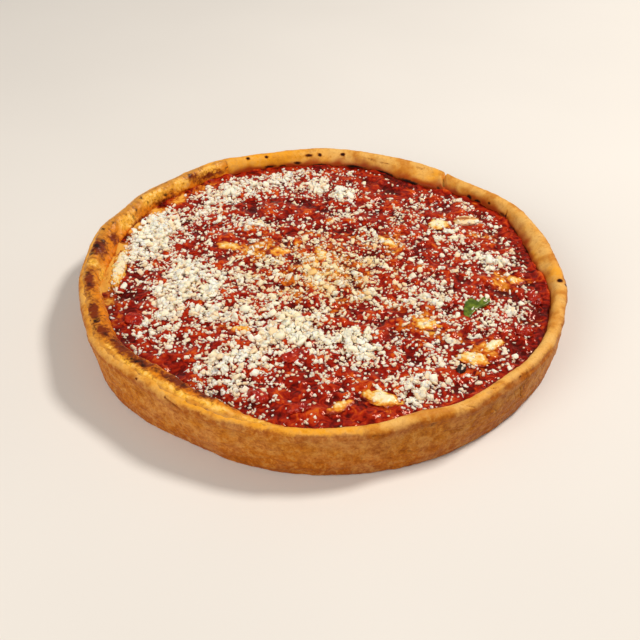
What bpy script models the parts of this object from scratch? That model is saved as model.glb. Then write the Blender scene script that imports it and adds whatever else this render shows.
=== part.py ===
"""Deep-dish pan pizza, turned out of its pan: a tall golden crust shell filled with chunky tomato sauce.

Melted cheese and tomato chunks stand out of the sauce, cheese has baked onto the rim, and grated cheese lies
over the top. Metres, +Z up. The origin is the middle of the flat underside. Azimuth 0 is +X and -90 degrees
is the front. Sizes in the tables are millimetres and degrees.
"""

import math
import random
from collections import namedtuple

import bmesh
import bpy
from mathutils import Matrix, Vector, noise

MM = 0.001

# Driving sizes of the crust shell
RIM_RADIUS = 150 * MM
BASE_RADIUS = 147 * MM
RIM_HEIGHT = 32.2 * MM
ROLL_RADIUS = 4.2 * MM
FLOOR_THICKNESS = 6 * MM
WALL_AT_FLOOR = 8.8 * MM
BASE_ROUNDING = 2.2 * MM
FLOOR_FILLET = 4 * MM
NECK_DEPTH = 1.2 * MM
BELLY = 0.7 * MM
CRUST_STEPS = 84

# Unevenness of the hand-pressed dough, as (azimuth, half-width, amount)
RIM_LEAN = (
    (167, 9, 3.7), (149, 6, 1.8), (123, 8, 3.0), (89, 11, 3.4), (46, 7, -2.7), (29, 6, 1.8), (4, 8, -1.6),
    (-16, 6, -1.0), (-48, 7, -1.0), (-70, 7, -3.0), (-97, 8, 1.4), (-131, 8, -1.4), (-148, 9, 3.1),
    (-174, 9, 2.0),
)
RIM_RISE = ((136, 34, 1.2), (52, 7, -1.1), (-48, 8, 1.5), (-70, 9, 1.0), (-120, 14, 0.5), (-160, 12, 0.5))
WALL_SLUMP = (
    (172, 15, 5.0), (116, 10, 1.7), (90, 11, 4.5), (61, 12, 10.3), (10, 15, 5.2), (-58, 12, 1.2),
    (-125, 22, 2.6), (-148, 9, 2.5),
)
SLUMP_AT_FOOT = 0.45
FOOT_SPREAD = ((-45, 13, -0.8), (-89, 24, 1.3), (-119, 9, -2.0), (-142, 13, 1.9))
FOOT_HEIGHT = 20 * MM
RIPPLE_DEPTH = 0.4 * MM
RIPPLE_SIZE = 16 * MM

# The notch where the ends of the dough strip meet
SEAM_AZIMUTH = 53.5
SEAM_WIDTH = 2.4 * MM
SEAM_DEPTH = 4 * MM
SEAM_LENGTH = 9 * MM
SEAM_TILT = -18

# The filling
GAP = 0.35 * MM
WALL_GAP = 0.7 * MM
SAUCE_EDGE_HEIGHT = 24 * MM
SAUCE_DOME = 1.4 * MM
DOME_WIDTH = 60 * MM
CHUNK_RELIEF = 2.0 * MM
CHUNK_SIZE = 11 * MM
CALM_WIDTH = 12 * MM
FILLING_GRID = 30

# Heaps of grated cheese, as (x, y, radius, depth)
CHEESE_HEAPS = (
    (-117, 45, 17, 1.7), (-109, 20, 17, 1.7), (-68, 92, 12, 1.4), (-48, 104, 11, 1.4),
    (-28, 114, 11, 1.2), (-4, 100, 11, 1.2), (11, 92, 9, 1.2), (-87, -10, 15, 1.9),
    (-80, -27, 15, 1.9), (-94, -52, 9, 1.4), (-51, -88, 15, 2.0), (-18, -62, 16, 2.0),
    (18, -70, 10, 1.4), (49, -106, 10, 1.6), (106, 13, 11, 1.5), (86, 42, 10, 1.2),
    (66, -31, 11, 1.2), (118, -38, 9, 1.2), (4, -4, 22, 0.8), (-34, -40, 16, 0.8), (94, 86, 7, 1.0),
)

# Grated cheese that shows from a step away, in clumps
CLUMP_COUNT = 92
CLUMP_RADIUS = (2.2 * MM, 5.0 * MM)
CLUMP_LIFT = 0.2
CLUMP_SEED = 20
CLUMP_TO_WALL = 5 * MM
BARE_SHARE = 0.12
HEAP_SHARE = 0.85

# Toppings that lie in the sauce, as (x, y, half-length, half-width, turn)
MELTED_CHEESE = (
    (-62, 26, 10, 5.0, -15), (-30, 20, 9, 6.5, -5), (-2, 17, 10, 4.5, 105), (42, 33, 11, 4.5, -52),
    (59, -52, 10, 6.0, -15), (-48, -60, 8, 3.6, 8), (84, -81, 10, 5.5, -18), (97, -69, 8, 3.4, 38),
    (119, -6, 6.5, 5.0, -20), (9, -121, 9, 3.8, 38), (31, -114, 11, 5.5, -20), (77, 57, 7, 6.0, 20),
)
MELTED_BY_RIM = (-129.5, 3, 21, 4.6, 92)
TOMATO_CHUNKS = (
    (128, -22, 8, 4.6, 100), (117, -55, 5.5, 5.0, 0), (-16, -82, 8, 5.5, 30), (-35, -114, 7, 4.5, -40),
    (-13, -123, 6, 4.0, 15), (-112, -50, 7, 5.0, -60),
)
BROWNED_SLICE = (96, 62, 8, 5.5, 8)
OLIVE_BIT = (76, -90, 3.4, 2.6, 60)
PEPPER_BED = (91.5, -35.5, 13, 6.5, 48)
RAGGEDNESS = 0.22
TOPPING_LIFT = 0.3 * MM
PLUG_RISE = 5 * MM

# Corners of the bent wedge of green pepper, from the middle of its bed
PEPPER_OUTLINE = (
    (-7.4, 1.4), (-3.4, 7.6), (1.6, 5.2), (5.2, 8.4), (8.4, 6.4), (6.6, 2.6), (0.4, -1.2), (-3.2, -5.4),
    (-6.2, -9.0),
)
PEPPER_THICKNESS = 2.0 * MM
PEPPER_LIFT = 0.7 * MM

# Cheese baked onto the inside of the rim, along the left, with its thickness from foot to top, and the ledge
# that it makes towards the sauce, as (azimuth, half-width, amount) and as a share from foot to top
BAND_FROM, BAND_TO = 120, 262
BAND_THICKNESS = 1.6 * MM
BAND_FOOT = 25.4 * MM
BAND_TAPER = (0.8, 1.0, 1.0, 0.7, 0.3)
BAND_LEDGE = ((199, 12, 4.3), (217, 12, 2.6), (236, 16, 6.0))
LEDGE_TAPER = (0.5, 0.85, 1.0, 0.75, 0.2)
BAND_END_TAPER = 0.35
BAND_END_STEPS = 5

Topping = namedtuple("Topping", "name x y half_length half_width turn half_height")


def smooth(low, high, value):
    """0 below low, 1 above high, and an even curve between."""
    share = min(1.0, max(0.0, (value - low) / (high - low)))
    return share * share * (3 - 2 * share)


def bumps(azimuth, table):
    """The sum of a table's bumps at an azimuth in radians, in metres."""
    total = 0.0
    for centre, half_width, amount in table:
        away = (math.degrees(azimuth) - centre + 180) % 360 - 180
        total += amount * MM * math.exp(-((away / half_width) ** 2))
    return total


def polar(radius, azimuth, height):
    return Vector((radius * math.cos(azimuth), radius * math.sin(azimuth), height))


def new_collection(name, helper=False):
    made = bpy.data.collections.new(name)
    bpy.context.scene.collection.children.link(made)
    made.hide_render = helper
    return made


def food_material(name, colour, roughness):
    made = bpy.data.materials.new(name)
    made.use_nodes = True
    shader = made.node_tree.nodes["Principled BSDF"]
    shader.inputs["Base Color"].default_value = (*colour, 1)
    shader.inputs["Roughness"].default_value = roughness
    shader.inputs["Metallic"].default_value = 0
    return made


def closed_mesh(bm, name):
    bmesh.ops.recalc_face_normals(bm, faces=bm.faces)
    mesh = bpy.data.meshes.new(name)
    bm.to_mesh(mesh)
    bm.free()
    mesh.shade_smooth()
    return mesh


def add_object(name, mesh, collection, material=None):
    made = bpy.data.objects.new(name, mesh)
    collection.objects.link(made)
    if material:
        mesh.materials.clear()
        mesh.materials.append(material)
    return made


def make_cutter(name, mesh, collection):
    cutter = add_object(name, mesh, collection)
    cutter.hide_render = True
    cutter.display_type = "WIRE"
    return cutter


def apply_modifiers(obj):
    """Put the object's modifiers into its mesh, and keep its own material alone."""
    graph = bpy.context.evaluated_depsgraph_get()
    materials = list(obj.data.materials)
    obj.data = bpy.data.meshes.new_from_object(obj.evaluated_get(graph))
    obj.modifiers.clear()
    obj.data.materials.clear()
    for material in materials:
        obj.data.materials.append(material)


# The crust shell


def arc(centre, radius, from_degrees, to_degrees, pieces):
    """Points of an arc in the shell's half section, each a radius and a height."""
    turns = [math.radians(from_degrees + (to_degrees - from_degrees) * i / pieces) for i in range(pieces + 1)]
    return [(centre[0] + radius * math.cos(turn), centre[1] + radius * math.sin(turn)) for turn in turns]


def fillet_centre():
    """Centre of the fillet between the crust's floor and its inner wall."""
    return BASE_RADIUS - WALL_AT_FLOOR - FLOOR_FILLET, FLOOR_THICKNESS + FLOOR_FILLET


def roll_centre():
    """Centre of the rim's rounded top."""
    return RIM_RADIUS - ROLL_RADIUS, RIM_HEIGHT - ROLL_RADIUS


def even_wall_radius(height):
    """The inner wall's radius in an even shell, straight from the fillet up to the roll."""
    foot, foot_height = fillet_centre()[0] + FLOOR_FILLET, fillet_centre()[1]
    top, top_height = roll_centre()[0] - ROLL_RADIUS, roll_centre()[1]
    return foot + (top - foot) * (height - foot_height) / (top_height - foot_height)


def outer_wall(pieces):
    """The outer wall from the neck under the roll to the rounded foot, with a slight belly."""
    neck = (RIM_RADIUS - NECK_DEPTH, roll_centre()[1] - ROLL_RADIUS)
    foot = (BASE_RADIUS, BASE_ROUNDING)
    points = []
    for i in range(pieces):
        share = i / pieces
        belly = BELLY * math.sin(math.pi * share)
        points.append((neck[0] + (foot[0] - neck[0]) * share + belly, neck[1] + (foot[1] - neck[1]) * share))
    return points


def crust_section():
    """Half section of the shell: from its floor's middle, up inside, over the rim and down outside."""
    base_centre = (BASE_RADIUS - BASE_ROUNDING, BASE_ROUNDING)
    points = [(0, FLOOR_THICKNESS)]
    points += arc(fillet_centre(), FLOOR_FILLET, -90, 0, 2)
    points += [(even_wall_radius(SAUCE_EDGE_HEIGHT), SAUCE_EDGE_HEIGHT)]
    points += arc(roll_centre(), ROLL_RADIUS, 180, 0, 6)
    points += outer_wall(3)
    points += arc(base_centre, BASE_ROUNDING, 0, -90, 2)
    points += [(0, 0)]
    return points


def lean(height, azimuth):
    """How far the dough leans out at this height: nothing at the foot and all of it at the rim."""
    return smooth(4 * MM, RIM_HEIGHT, height) * bumps(azimuth, RIM_LEAN)


def slump(height, azimuth):
    """How far the inner wall has slumped in: most at the sauce, less at its foot, nothing on the roll."""
    foot = fillet_centre()[1]
    if height > SAUCE_EDGE_HEIGHT:
        share = 1 - smooth(SAUCE_EDGE_HEIGHT, RIM_HEIGHT, height)
    else:
        climb = max(0.0, (height - foot) / (SAUCE_EDGE_HEIGHT - foot))
        share = SLUMP_AT_FOOT + (1 - SLUMP_AT_FOOT) * climb
    return share * bumps(azimuth, WALL_SLUMP)


def spread(height, azimuth):
    """How far the outer wall's foot spreads out or tucks in: most at the base, nothing above the foot."""
    return (1 - smooth(0, FOOT_HEIGHT, height)) * bumps(azimuth, FOOT_SPREAD)


def wall_radius(height, azimuth):
    """The inner wall's radius below the roll, with the dough's lean and slump."""
    return even_wall_radius(height) + lean(height, azimuth) - slump(height, azimuth)


def uneven_point(radius, height, azimuth):
    """Where a point of the even shell lies in the hand-pressed one, as a radius and a height."""
    rise = smooth(SAUCE_EDGE_HEIGHT + MM, RIM_HEIGHT, height) * bumps(azimuth, RIM_RISE)
    moved = radius + lean(height, azimuth)
    on_inner_wall = fillet_centre()[0] - MM < radius < roll_centre()[0] and height > FLOOR_THICKNESS / 2
    if on_inner_wall:
        moved -= slump(height, azimuth)
    else:
        moved += spread(height, azimuth)
    if radius > roll_centre()[0] and height > BASE_ROUNDING / 2:
        moved += RIPPLE_DEPTH * noise.noise(polar(radius, azimuth, height) / RIPPLE_SIZE)
    return moved, height + rise


def make_seam_cutter(cutters):
    """A wedge, point down, that notches the rim where the ends of the dough strip meet."""
    bm = bmesh.new()
    bmesh.ops.create_cone(bm, cap_ends=True, segments=4, radius1=0.2 * SEAM_WIDTH, radius2=SEAM_WIDTH,
                          depth=2 * SEAM_DEPTH)
    bmesh.ops.transform(bm, matrix=Matrix.Diagonal((SEAM_LENGTH / SEAM_WIDTH, 1, 1, 1)), verts=bm.verts)
    cutter = make_cutter("seam_cutter", closed_mesh(bm, "seam_cutter"), cutters)
    azimuth = math.radians(SEAM_AZIMUTH)
    cutter.rotation_euler = (0, math.radians(SEAM_TILT), azimuth)
    cutter.location = polar(roll_centre()[0] - ROLL_RADIUS, azimuth, RIM_HEIGHT)
    return cutter


def make_crust(parts, cutters):
    bm = bmesh.new()
    corners = [bm.verts.new((radius, 0, height)) for radius, height in crust_section()]
    for first, second in zip(corners, corners[1:]):
        bm.edges.new((first, second))
    mesh = bpy.data.meshes.new("crust")
    bm.to_mesh(mesh)
    bm.free()
    crust = add_object("crust", mesh, parts, food_material("baked_crust", (0.60, 0.30, 0.09), 0.6))
    screw = crust.modifiers.new("turned", "SCREW")
    screw.steps = screw.render_steps = CRUST_STEPS
    screw.use_merge_vertices = True
    screw.merge_threshold = 0.01 * MM
    apply_modifiers(crust)
    for vertex in crust.data.vertices:
        radius, azimuth = math.hypot(vertex.co.x, vertex.co.y), math.atan2(vertex.co.y, vertex.co.x)
        if radius > BASE_RADIUS / 2:
            radius, height = uneven_point(radius, vertex.co.z, azimuth)
            vertex.co = polar(radius, azimuth, height)
    seam = crust.modifiers.new("seam", "BOOLEAN")
    seam.operation = "DIFFERENCE"
    seam.object = make_seam_cutter(cutters)
    apply_modifiers(crust)
    crust.data.shade_smooth()


# Toppings that lie in the sauce, and the room they take


def numbered(name, places, half_height):
    return [Topping(f"{name}_{i}", *place, half_height * MM) for i, place in enumerate(places, start=1)]


def sauce_toppings():
    """Every ragged topping that lies in the sauce, by the finish that it has."""
    return {
        "melted_cheese": [
            *numbered("melted_cheese", MELTED_CHEESE, 1.9),
            Topping("melted_cheese_by_rim", *MELTED_BY_RIM, 1.9 * MM),
        ],
        "tomato_flesh": numbered("tomato_chunk", TOMATO_CHUNKS, 2.6),
        "browned_slice": [Topping("browned_slice", *BROWNED_SLICE, 2.6 * MM)],
        "black_olive": [Topping("olive_bit", *OLIVE_BIT, 2.2 * MM)],
    }


def all_beds():
    beds = [topping for kind in sauce_toppings().values() for topping in kind]
    return [*beds, Topping("pepper_bed", *PEPPER_BED, 0)]


def reach_in(bed, x, y, margin=0.0):
    """How far x, y lies from the middle of a topping's bed, where 1 is its edge grown by the margin."""
    away = Vector((x - bed.x * MM, y - bed.y * MM))
    away.rotate(Matrix.Rotation(-math.radians(bed.turn), 2))
    return math.hypot(away.x / (bed.half_length * MM + margin), away.y / (bed.half_width * MM + margin))


def calm_level(radius):
    """The sauce's height without its chunks: level with its edge at the wall, and a little domed."""
    from_wall = even_wall_radius(SAUCE_EDGE_HEIGHT) - radius
    return SAUCE_EDGE_HEIGHT + SAUCE_DOME * smooth(0, DOME_WIDTH, from_wall)


def heap_shares(x, y):
    """How much of each heap's middle lies at x, y, with the heap's depth."""
    for heap_x, heap_y, radius, depth in CHEESE_HEAPS:
        away = math.hypot(x - heap_x * MM, y - heap_y * MM) / (radius * MM)
        yield math.exp(-away * away), depth * MM


def sauce_height(x, y, beds):
    """The height of the sauce's top, with its chunks and the heaps of cheese, and flat under its toppings."""
    radius = math.hypot(x, y)
    edge = wall_radius(SAUCE_EDGE_HEIGHT, math.atan2(y, x)) - WALL_GAP
    relief = CHUNK_RELIEF * noise.noise(Vector((x, y, 0)) / CHUNK_SIZE)
    relief += sum(share * depth for share, depth in heap_shares(x, y))
    for bed in beds:
        relief *= smooth(0.8, 1.6, reach_in(bed, x, y))
    return calm_level(radius) + smooth(0, CALM_WIDTH, edge - radius) * relief


def make_filling_core(parts, beds):
    """The filling from the crust's floor up to its chunky top, as a square grid drawn out to a disc."""
    bm = bmesh.new()
    bmesh.ops.create_grid(bm, x_segments=FILLING_GRID, y_segments=FILLING_GRID, size=1)
    for vertex in bm.verts:
        across, along = vertex.co.xy
        x, y = across * math.sqrt(1 - along**2 / 2), along * math.sqrt(1 - across**2 / 2)
        reach = wall_radius(SAUCE_EDGE_HEIGHT, math.atan2(y, x)) - WALL_GAP
        vertex.co = (x * reach, y * reach, sauce_height(x * reach, y * reach, beds))
    fillet, fillet_height = fillet_centre()
    slant = (FLOOR_FILLET - WALL_GAP) * math.sqrt(0.5)
    rows_down = (
        (fillet + FLOOR_FILLET - WALL_GAP, fillet_height),
        (fillet + slant, fillet_height - slant),
        (fillet, FLOOR_THICKNESS + WALL_GAP),
    )
    edge = [e for e in bm.edges if e.is_boundary]
    for radius, height in rows_down:
        grown = bmesh.ops.extrude_edge_only(bm, edges=edge)["geom"]
        edge = [e for e in grown if isinstance(e, bmesh.types.BMEdge) and e.is_boundary]
        for vertex in {v for e in edge for v in e.verts}:
            azimuth = math.atan2(vertex.co.y, vertex.co.x)
            shift = lean(height, azimuth) - slump(height, azimuth)
            vertex.co = polar(radius + shift, azimuth, height)
    bmesh.ops.holes_fill(bm, edges=edge, sides=0)
    sauce = food_material("tomato_sauce", (0.42, 0.035, 0.012), 0.3)
    return add_object("tomato_filling", closed_mesh(bm, "tomato_filling"), parts, sauce)


def make_ragged_topping(topping, seed, parts, material):
    """A flat lump with a ragged outline, half sunk in the sauce."""
    bm = bmesh.new()
    bmesh.ops.create_icosphere(bm, subdivisions=2, radius=1)
    for vertex in bm.verts:
        ragged = 1 + RAGGEDNESS * noise.noise(vertex.co * 1.4 + Vector((seed * 7.3, 0, 0)))
        vertex.co.x *= topping.half_length * MM * ragged
        vertex.co.y *= topping.half_width * MM * ragged
        vertex.co.z *= topping.half_height
    made = add_object(topping.name, closed_mesh(bm, topping.name), parts, material)
    made.rotation_euler.z = math.radians(topping.turn)
    level = calm_level(math.hypot(topping.x, topping.y) * MM)
    made.location = (topping.x * MM, topping.y * MM, level + TOPPING_LIFT)
    return made


def make_pepper(parts, material):
    """A bent wedge of green pepper, as a flat outline with a thickness."""
    outline = bpy.data.curves.new("green_pepper", "CURVE")
    outline.dimensions = "2D"
    outline.fill_mode = "BOTH"
    outline.extrude = PEPPER_THICKNESS / 2
    outline.resolution_u = 2
    spline = outline.splines.new("BEZIER")
    spline.bezier_points.add(len(PEPPER_OUTLINE) - 1)
    for point, (x, y) in zip(spline.bezier_points, PEPPER_OUTLINE):
        point.co = (x * MM, y * MM, 0)
        point.handle_left_type = point.handle_right_type = "AUTO"
    spline.use_cyclic_u = True
    curve = bpy.data.objects.new("pepper_outline", outline)
    parts.objects.link(curve)
    level = calm_level(math.hypot(PEPPER_BED[0], PEPPER_BED[1]) * MM)
    curve.location = (PEPPER_BED[0] * MM, PEPPER_BED[1] * MM, level + PEPPER_LIFT)
    curve.rotation_euler = (math.radians(5), math.radians(-4), 0)
    bpy.context.view_layer.update()
    bm = bmesh.new()
    bm.from_mesh(curve.evaluated_get(bpy.context.evaluated_depsgraph_get()).to_mesh())
    bmesh.ops.remove_doubles(bm, verts=bm.verts, dist=0.01 * MM)
    made = add_object("green_pepper", closed_mesh(bm, "green_pepper"), parts, material)
    made.matrix_world = curve.matrix_world
    bpy.data.objects.remove(curve)
    return made


def make_pocket(topping, cutters):
    """A cutter that leaves a gap round a topping and opens the sauce above it."""
    mesh = topping.data.copy()
    mesh.materials.clear()
    grown = [vertex.co + vertex.normal * GAP for vertex in mesh.vertices]
    for vertex, place in zip(mesh.vertices, grown):
        raised = PLUG_RISE if vertex.co.z > 0.1 * MM else 0
        vertex.co = place + Vector((0, 0, raised))
    pocket = make_cutter("pocket_" + topping.name, mesh, cutters)
    pocket.matrix_world = topping.matrix_world
    return pocket


# Cheese baked onto the rim


def band_section():
    """Points of the crust's section under the baked cheese, with the way out of the crust and the tapers."""
    points = [Vector((even_wall_radius(BAND_FOOT), BAND_FOOT))]
    points += [Vector(point) for point in arc(roll_centre(), ROLL_RADIUS, 180, 90, len(BAND_TAPER) - 2)]
    section = []
    for i, point in enumerate(points):
        along = (points[min(i + 1, len(points) - 1)] - points[max(i - 1, 0)]).normalized()
        section.append((point, Vector((-along.y, along.x)), BAND_TAPER[i], LEDGE_TAPER[i]))
    return section


def make_baked_band(parts, material):
    """A strip that follows the rim with a gap to it, and a ledge inwards, thinner to its ends and its top."""
    section = band_section()
    step = 360 / CRUST_STEPS
    first, last = round(BAND_FROM / step), round(BAND_TO / step)
    bm = bmesh.new()
    rings = []
    for i in range(first, last + 1):
        azimuth = math.radians(i * step)
        from_end = smooth(0, BAND_END_STEPS, min(i - first, last - i))
        thickness = BAND_THICKNESS * (BAND_END_TAPER + (1 - BAND_END_TAPER) * from_end)
        thickness *= 1 + 0.35 * noise.noise(polar(7, azimuth, 3))
        ledge = bumps(azimuth, BAND_LEDGE)
        ring = []
        for depth, reach, points in ((0, 0, section), (thickness, ledge, reversed(section))):
            for point, way_out, taper, ledge_taper in points:
                radius, height = uneven_point(*point, azimuth)
                lift = way_out * (GAP + depth * taper)
                inwards = reach * ledge_taper
                ring.append(bm.verts.new(polar(radius + lift.x - inwards, azimuth, height + lift.y)))
        rings.append(ring)
    for ring, following in zip(rings, rings[1:]):
        for i in range(len(ring)):
            j = (i + 1) % len(ring)
            bm.faces.new((ring[i], ring[j], following[j], following[i]))
    bm.faces.new(rings[0])
    bm.faces.new(rings[-1])
    add_object("baked_cheese_band", closed_mesh(bm, "baked_cheese_band"), parts, material)


# Grated cheese


def clump_fits(x, y, radius, taken, beds):
    wall = wall_radius(SAUCE_EDGE_HEIGHT, math.atan2(y, x))
    if math.hypot(x, y) + radius > wall - CLUMP_TO_WALL:
        return False
    if any(reach_in(bed, x, y, margin=radius + 2 * GAP) < 1.2 for bed in beds):
        return False
    return all(math.dist((x, y), place) > 0.9 * (radius + other) for *place, other in taken)


def make_clumps(clumps, filling, beds):
    """Clumps of grated cheese, largest first and mostly on the heaps, that lie sunk in the sauce."""
    above, down = Vector((0, 0, 2 * RIM_HEIGHT)), Vector((0, 0, -1))
    draw = random.Random(CLUMP_SEED)
    least, most = CLUMP_RADIUS
    taken = []
    while len(taken) < CLUMP_COUNT:
        radius = most - (most - least) * (len(taken) / CLUMP_COUNT) ** 0.6
        x, y = draw.uniform(-RIM_RADIUS, RIM_RADIUS), draw.uniform(-RIM_RADIUS, RIM_RADIUS)
        share = BARE_SHARE + HEAP_SHARE * sum(share for share, _ in heap_shares(x, y))
        if draw.random() > share or not clump_fits(x, y, radius, taken, beds):
            continue
        taken.append((x, y, radius))
        bm = bmesh.new()
        bmesh.ops.create_icosphere(bm, subdivisions=1, radius=radius)
        for vertex in bm.verts:
            vertex.co *= draw.uniform(0.75, 1.15)
        made = add_object(f"clump_{len(taken)}", closed_mesh(bm, "clump"), clumps)
        made.scale = (1, draw.uniform(0.65, 0.95), draw.uniform(0.45, 0.65))
        made.rotation_euler = (draw.uniform(-0.3, 0.3), draw.uniform(-0.3, 0.3), draw.uniform(0, math.tau))
        landing = filling.ray_cast(Vector((x, y, 0)) + above, down)[1]
        made.location = landing + Vector((0, 0, CLUMP_LIFT * radius))


def main():
    for old in list(bpy.data.objects):
        bpy.data.objects.remove(old)
    parts = new_collection("pan_pizza")
    cutters = new_collection("cutters", helper=True)
    clumps = new_collection("clumps", helper=True)
    beds = all_beds()
    finishes = {
        "melted_cheese": food_material("melted_cheese", (0.85, 0.50, 0.12), 0.35),
        "tomato_flesh": food_material("tomato_flesh", (0.36, 0.02, 0.01), 0.2),
        "browned_slice": food_material("browned_slice", (0.62, 0.34, 0.12), 0.45),
        "black_olive": food_material("black_olive", (0.02, 0.012, 0.01), 0.3),
    }

    make_crust(parts, cutters)
    make_baked_band(parts, food_material("baked_cheese", (0.72, 0.30, 0.03), 0.35))
    filling = make_filling_core(parts, beds)
    toppings = [make_pepper(parts, food_material("green_pepper", (0.10, 0.17, 0.02), 0.3))]
    for kind, places in sauce_toppings().items():
        for topping in places:
            toppings.append(make_ragged_topping(topping, len(toppings), parts, finishes[kind]))

    bpy.context.view_layer.update()
    for topping in toppings:
        pocket = filling.modifiers.new("pocket_" + topping.name, "BOOLEAN")
        pocket.operation = "DIFFERENCE"
        pocket.object = make_pocket(topping, cutters)
    apply_modifiers(filling)
    bpy.context.view_layer.update()

    make_clumps(clumps, filling, beds)
    grated = filling.modifiers.new("grated_cheese", "BOOLEAN")
    grated.operation = "UNION"
    grated.operand_type = "COLLECTION"
    grated.collection = clumps
    grated.solver = "MANIFOLD"
    apply_modifiers(filling)
    for clump in list(clumps.objects):
        bpy.data.objects.remove(clump)


main()
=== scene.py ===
import math
from functools import lru_cache

import bmesh
import bpy
from mathutils import Matrix, Vector, noise
from mathutils.bvhtree import BVHTree


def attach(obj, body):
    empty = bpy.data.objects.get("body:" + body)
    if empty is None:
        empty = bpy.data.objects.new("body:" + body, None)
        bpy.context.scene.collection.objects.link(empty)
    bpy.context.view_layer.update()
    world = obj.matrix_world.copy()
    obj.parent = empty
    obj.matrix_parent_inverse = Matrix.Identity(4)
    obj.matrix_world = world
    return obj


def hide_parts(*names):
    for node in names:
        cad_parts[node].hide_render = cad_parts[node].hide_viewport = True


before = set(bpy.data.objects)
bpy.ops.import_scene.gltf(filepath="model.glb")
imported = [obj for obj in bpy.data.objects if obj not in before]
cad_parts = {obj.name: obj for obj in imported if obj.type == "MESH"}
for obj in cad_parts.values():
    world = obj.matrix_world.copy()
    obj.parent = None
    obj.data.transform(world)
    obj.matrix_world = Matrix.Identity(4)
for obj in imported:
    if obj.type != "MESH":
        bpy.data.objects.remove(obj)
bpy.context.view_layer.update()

# ---------------------------------------------------------------------------------------------------------
# The crust shell
# One sheet of stiff yellow dough, pressed by hand into a deep round pan and up its wall, with the ends of its
# wall strip lapped at a seam. It baked hard and golden in the pan's oil, and browned most near its foot.
# ---------------------------------------------------------------------------------------------------------

MM = 0.001
RIM_RADIUS = 150 * MM
BASE_RADIUS = 147 * MM
RIM_HEIGHT = 32.2 * MM
ROLL_RADIUS = 4.2 * MM
FLOOR_THICKNESS = 6 * MM
WALL_AT_FLOOR = 8.8 * MM
BASE_ROUNDING = 2.2 * MM
FLOOR_FILLET = 4 * MM
NECK_DEPTH = 1.2 * MM
BELLY = 0.7 * MM
SAUCE_EDGE_HEIGHT = 24 * MM
CRUST_COLUMNS = 1080
SEAM_COLUMNS = 40

# Heights of the rows up the inner wall in millimetres, closer together where the sauce leaves it bare
INNER_ROWS = (15, 19, 21.5, 22.7, 23.6, 24.4, 25.1, 25.8, 26.5, 27.2)

# Unevenness of the hand-pressed dough, as (azimuth, half-width, amount) in degrees and millimetres
RIM_LEAN = (
    (167, 9, 3.7), (149, 6, 1.8), (123, 8, 3.0), (89, 11, 3.4), (46, 7, -2.7), (29, 6, 1.8), (4, 8, -1.6),
    (-16, 6, -1.0), (-48, 7, -1.0), (-70, 7, -3.0), (-97, 8, 1.4), (-131, 8, -1.4), (-148, 9, 3.1),
    (-174, 9, 2.0),
)
RIM_RISE = ((136, 34, 1.2), (52, 7, -1.1), (-48, 8, 1.5), (-70, 9, 1.0), (-120, 14, 0.5), (-160, 12, 0.5))
WALL_SLUMP = (
    (172, 15, 5.0), (116, 10, 1.7), (90, 11, 4.5), (61, 12, 10.3), (10, 15, 5.2), (-58, 12, 1.2),
    (-125, 22, 2.6), (-148, 9, 2.5),
)
SLUMP_AT_FOOT = 0.45
FOOT_SPREAD = ((-45, 13, -0.8), (-89, 24, 1.3), (-119, 9, -2.0), (-142, 13, 1.9))
FOOT_HEIGHT = 20 * MM
RIPPLE_DEPTH = 0.4 * MM
RIPPLE_SIZE = 16 * MM

# The seam, from the rim down to the sauce
SEAM_AZIMUTH = 53.5
SEAM_AZIMUTH_AT_SAUCE = 50.5
SEAM_WIDTH = 2.4 * MM
SEAM_DEPTH = 4 * MM
LAP_IN = 1.3 * MM
LAP_BACK = 0.8 * MM
LAP_IN_FADE = 5
LAP_BACK_FADE = 3
SEAM_REACH = 14
SEAM_WINDOW = 3.2

# "Across" is the way over the rim from its crest, in millimetres: negative inside and positive outside.
SAUCE_ACROSS = -10.6
HIDDEN_ACROSS, SHOWN_ACROSS = -15, -11

# Creases and cracks, as (azimuth, across, azimuth, across, half-width, depth) in degrees and millimetres
CREASES = (
    (-138, 7.2, -122, 7.6, 0.8, 0.7), (-122, 7.6, -104, 7.0, 0.7, 0.6), (-124, 3.4, -119, 6.2, 0.9, 0.7),
    (-135, 12.7, -131.4, 13.6, 0.5, 0.6), (-132, 13.4, -129.5, 12.2, 0.5, 0.5),
    (-80.5, 5.0, -76.5, 6.6, 0.5, 0.6), (-91, 6.4, -91, 9.4, 0.4, 0.5), (-70, 6.8, -58, 7.4, 0.8, 0.5),
    (-59.6, 1.6, -58.4, 3.6, 0.4, 0.7), (-52.4, -0.6, -51.0, 1.4, 0.4, 0.7),
    (-42.2, 2.2, -42.6, 10.6, 0.5, 1.0), (-44.0, 9.0, -43.0, 20.5, 0.45, 0.8),
    (-46.4, 8.0, -45.2, 17.0, 0.4, 0.5), (-64.6, 14.8, -60.5, 16.6, 0.6, 0.6),
    (-74.4, 20.4, -71.0, 23.0, 0.5, 0.5), (-52.6, 13.0, -51.4, 16.0, 0.4, 0.5),
    (28.6, -10.4, 29.2, -5.4, 0.5, 0.9), (-30, 6.4, -14, 7.0, 0.8, 0.5),
)
SHELL_GRAIN = ((9, 0.32), (4.0, 0.24), (2.1, 0.16))
WRINKLE_LENGTH = 11 * MM
WRINKLE_WIDTH = 2.6 * MM
WRINKLE_HEIGHT = 0.65 * MM

# The rolled bead ends on the outer wall at a ragged edge, with a groove under it that comes and goes
BEAD_EDGE = 5.4
BEAD_RAISED = ((-98, 18, -2.2), (-45, 10, -1.5))
BEAD_WANDER = 1.3
BEAD_WANDER_LENGTH = 13 * MM
GROOVE_DEPTH = 0.6 * MM
GROOVE_WIDTH = 0.9
GROOVE_LENGTH = 22 * MM

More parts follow.
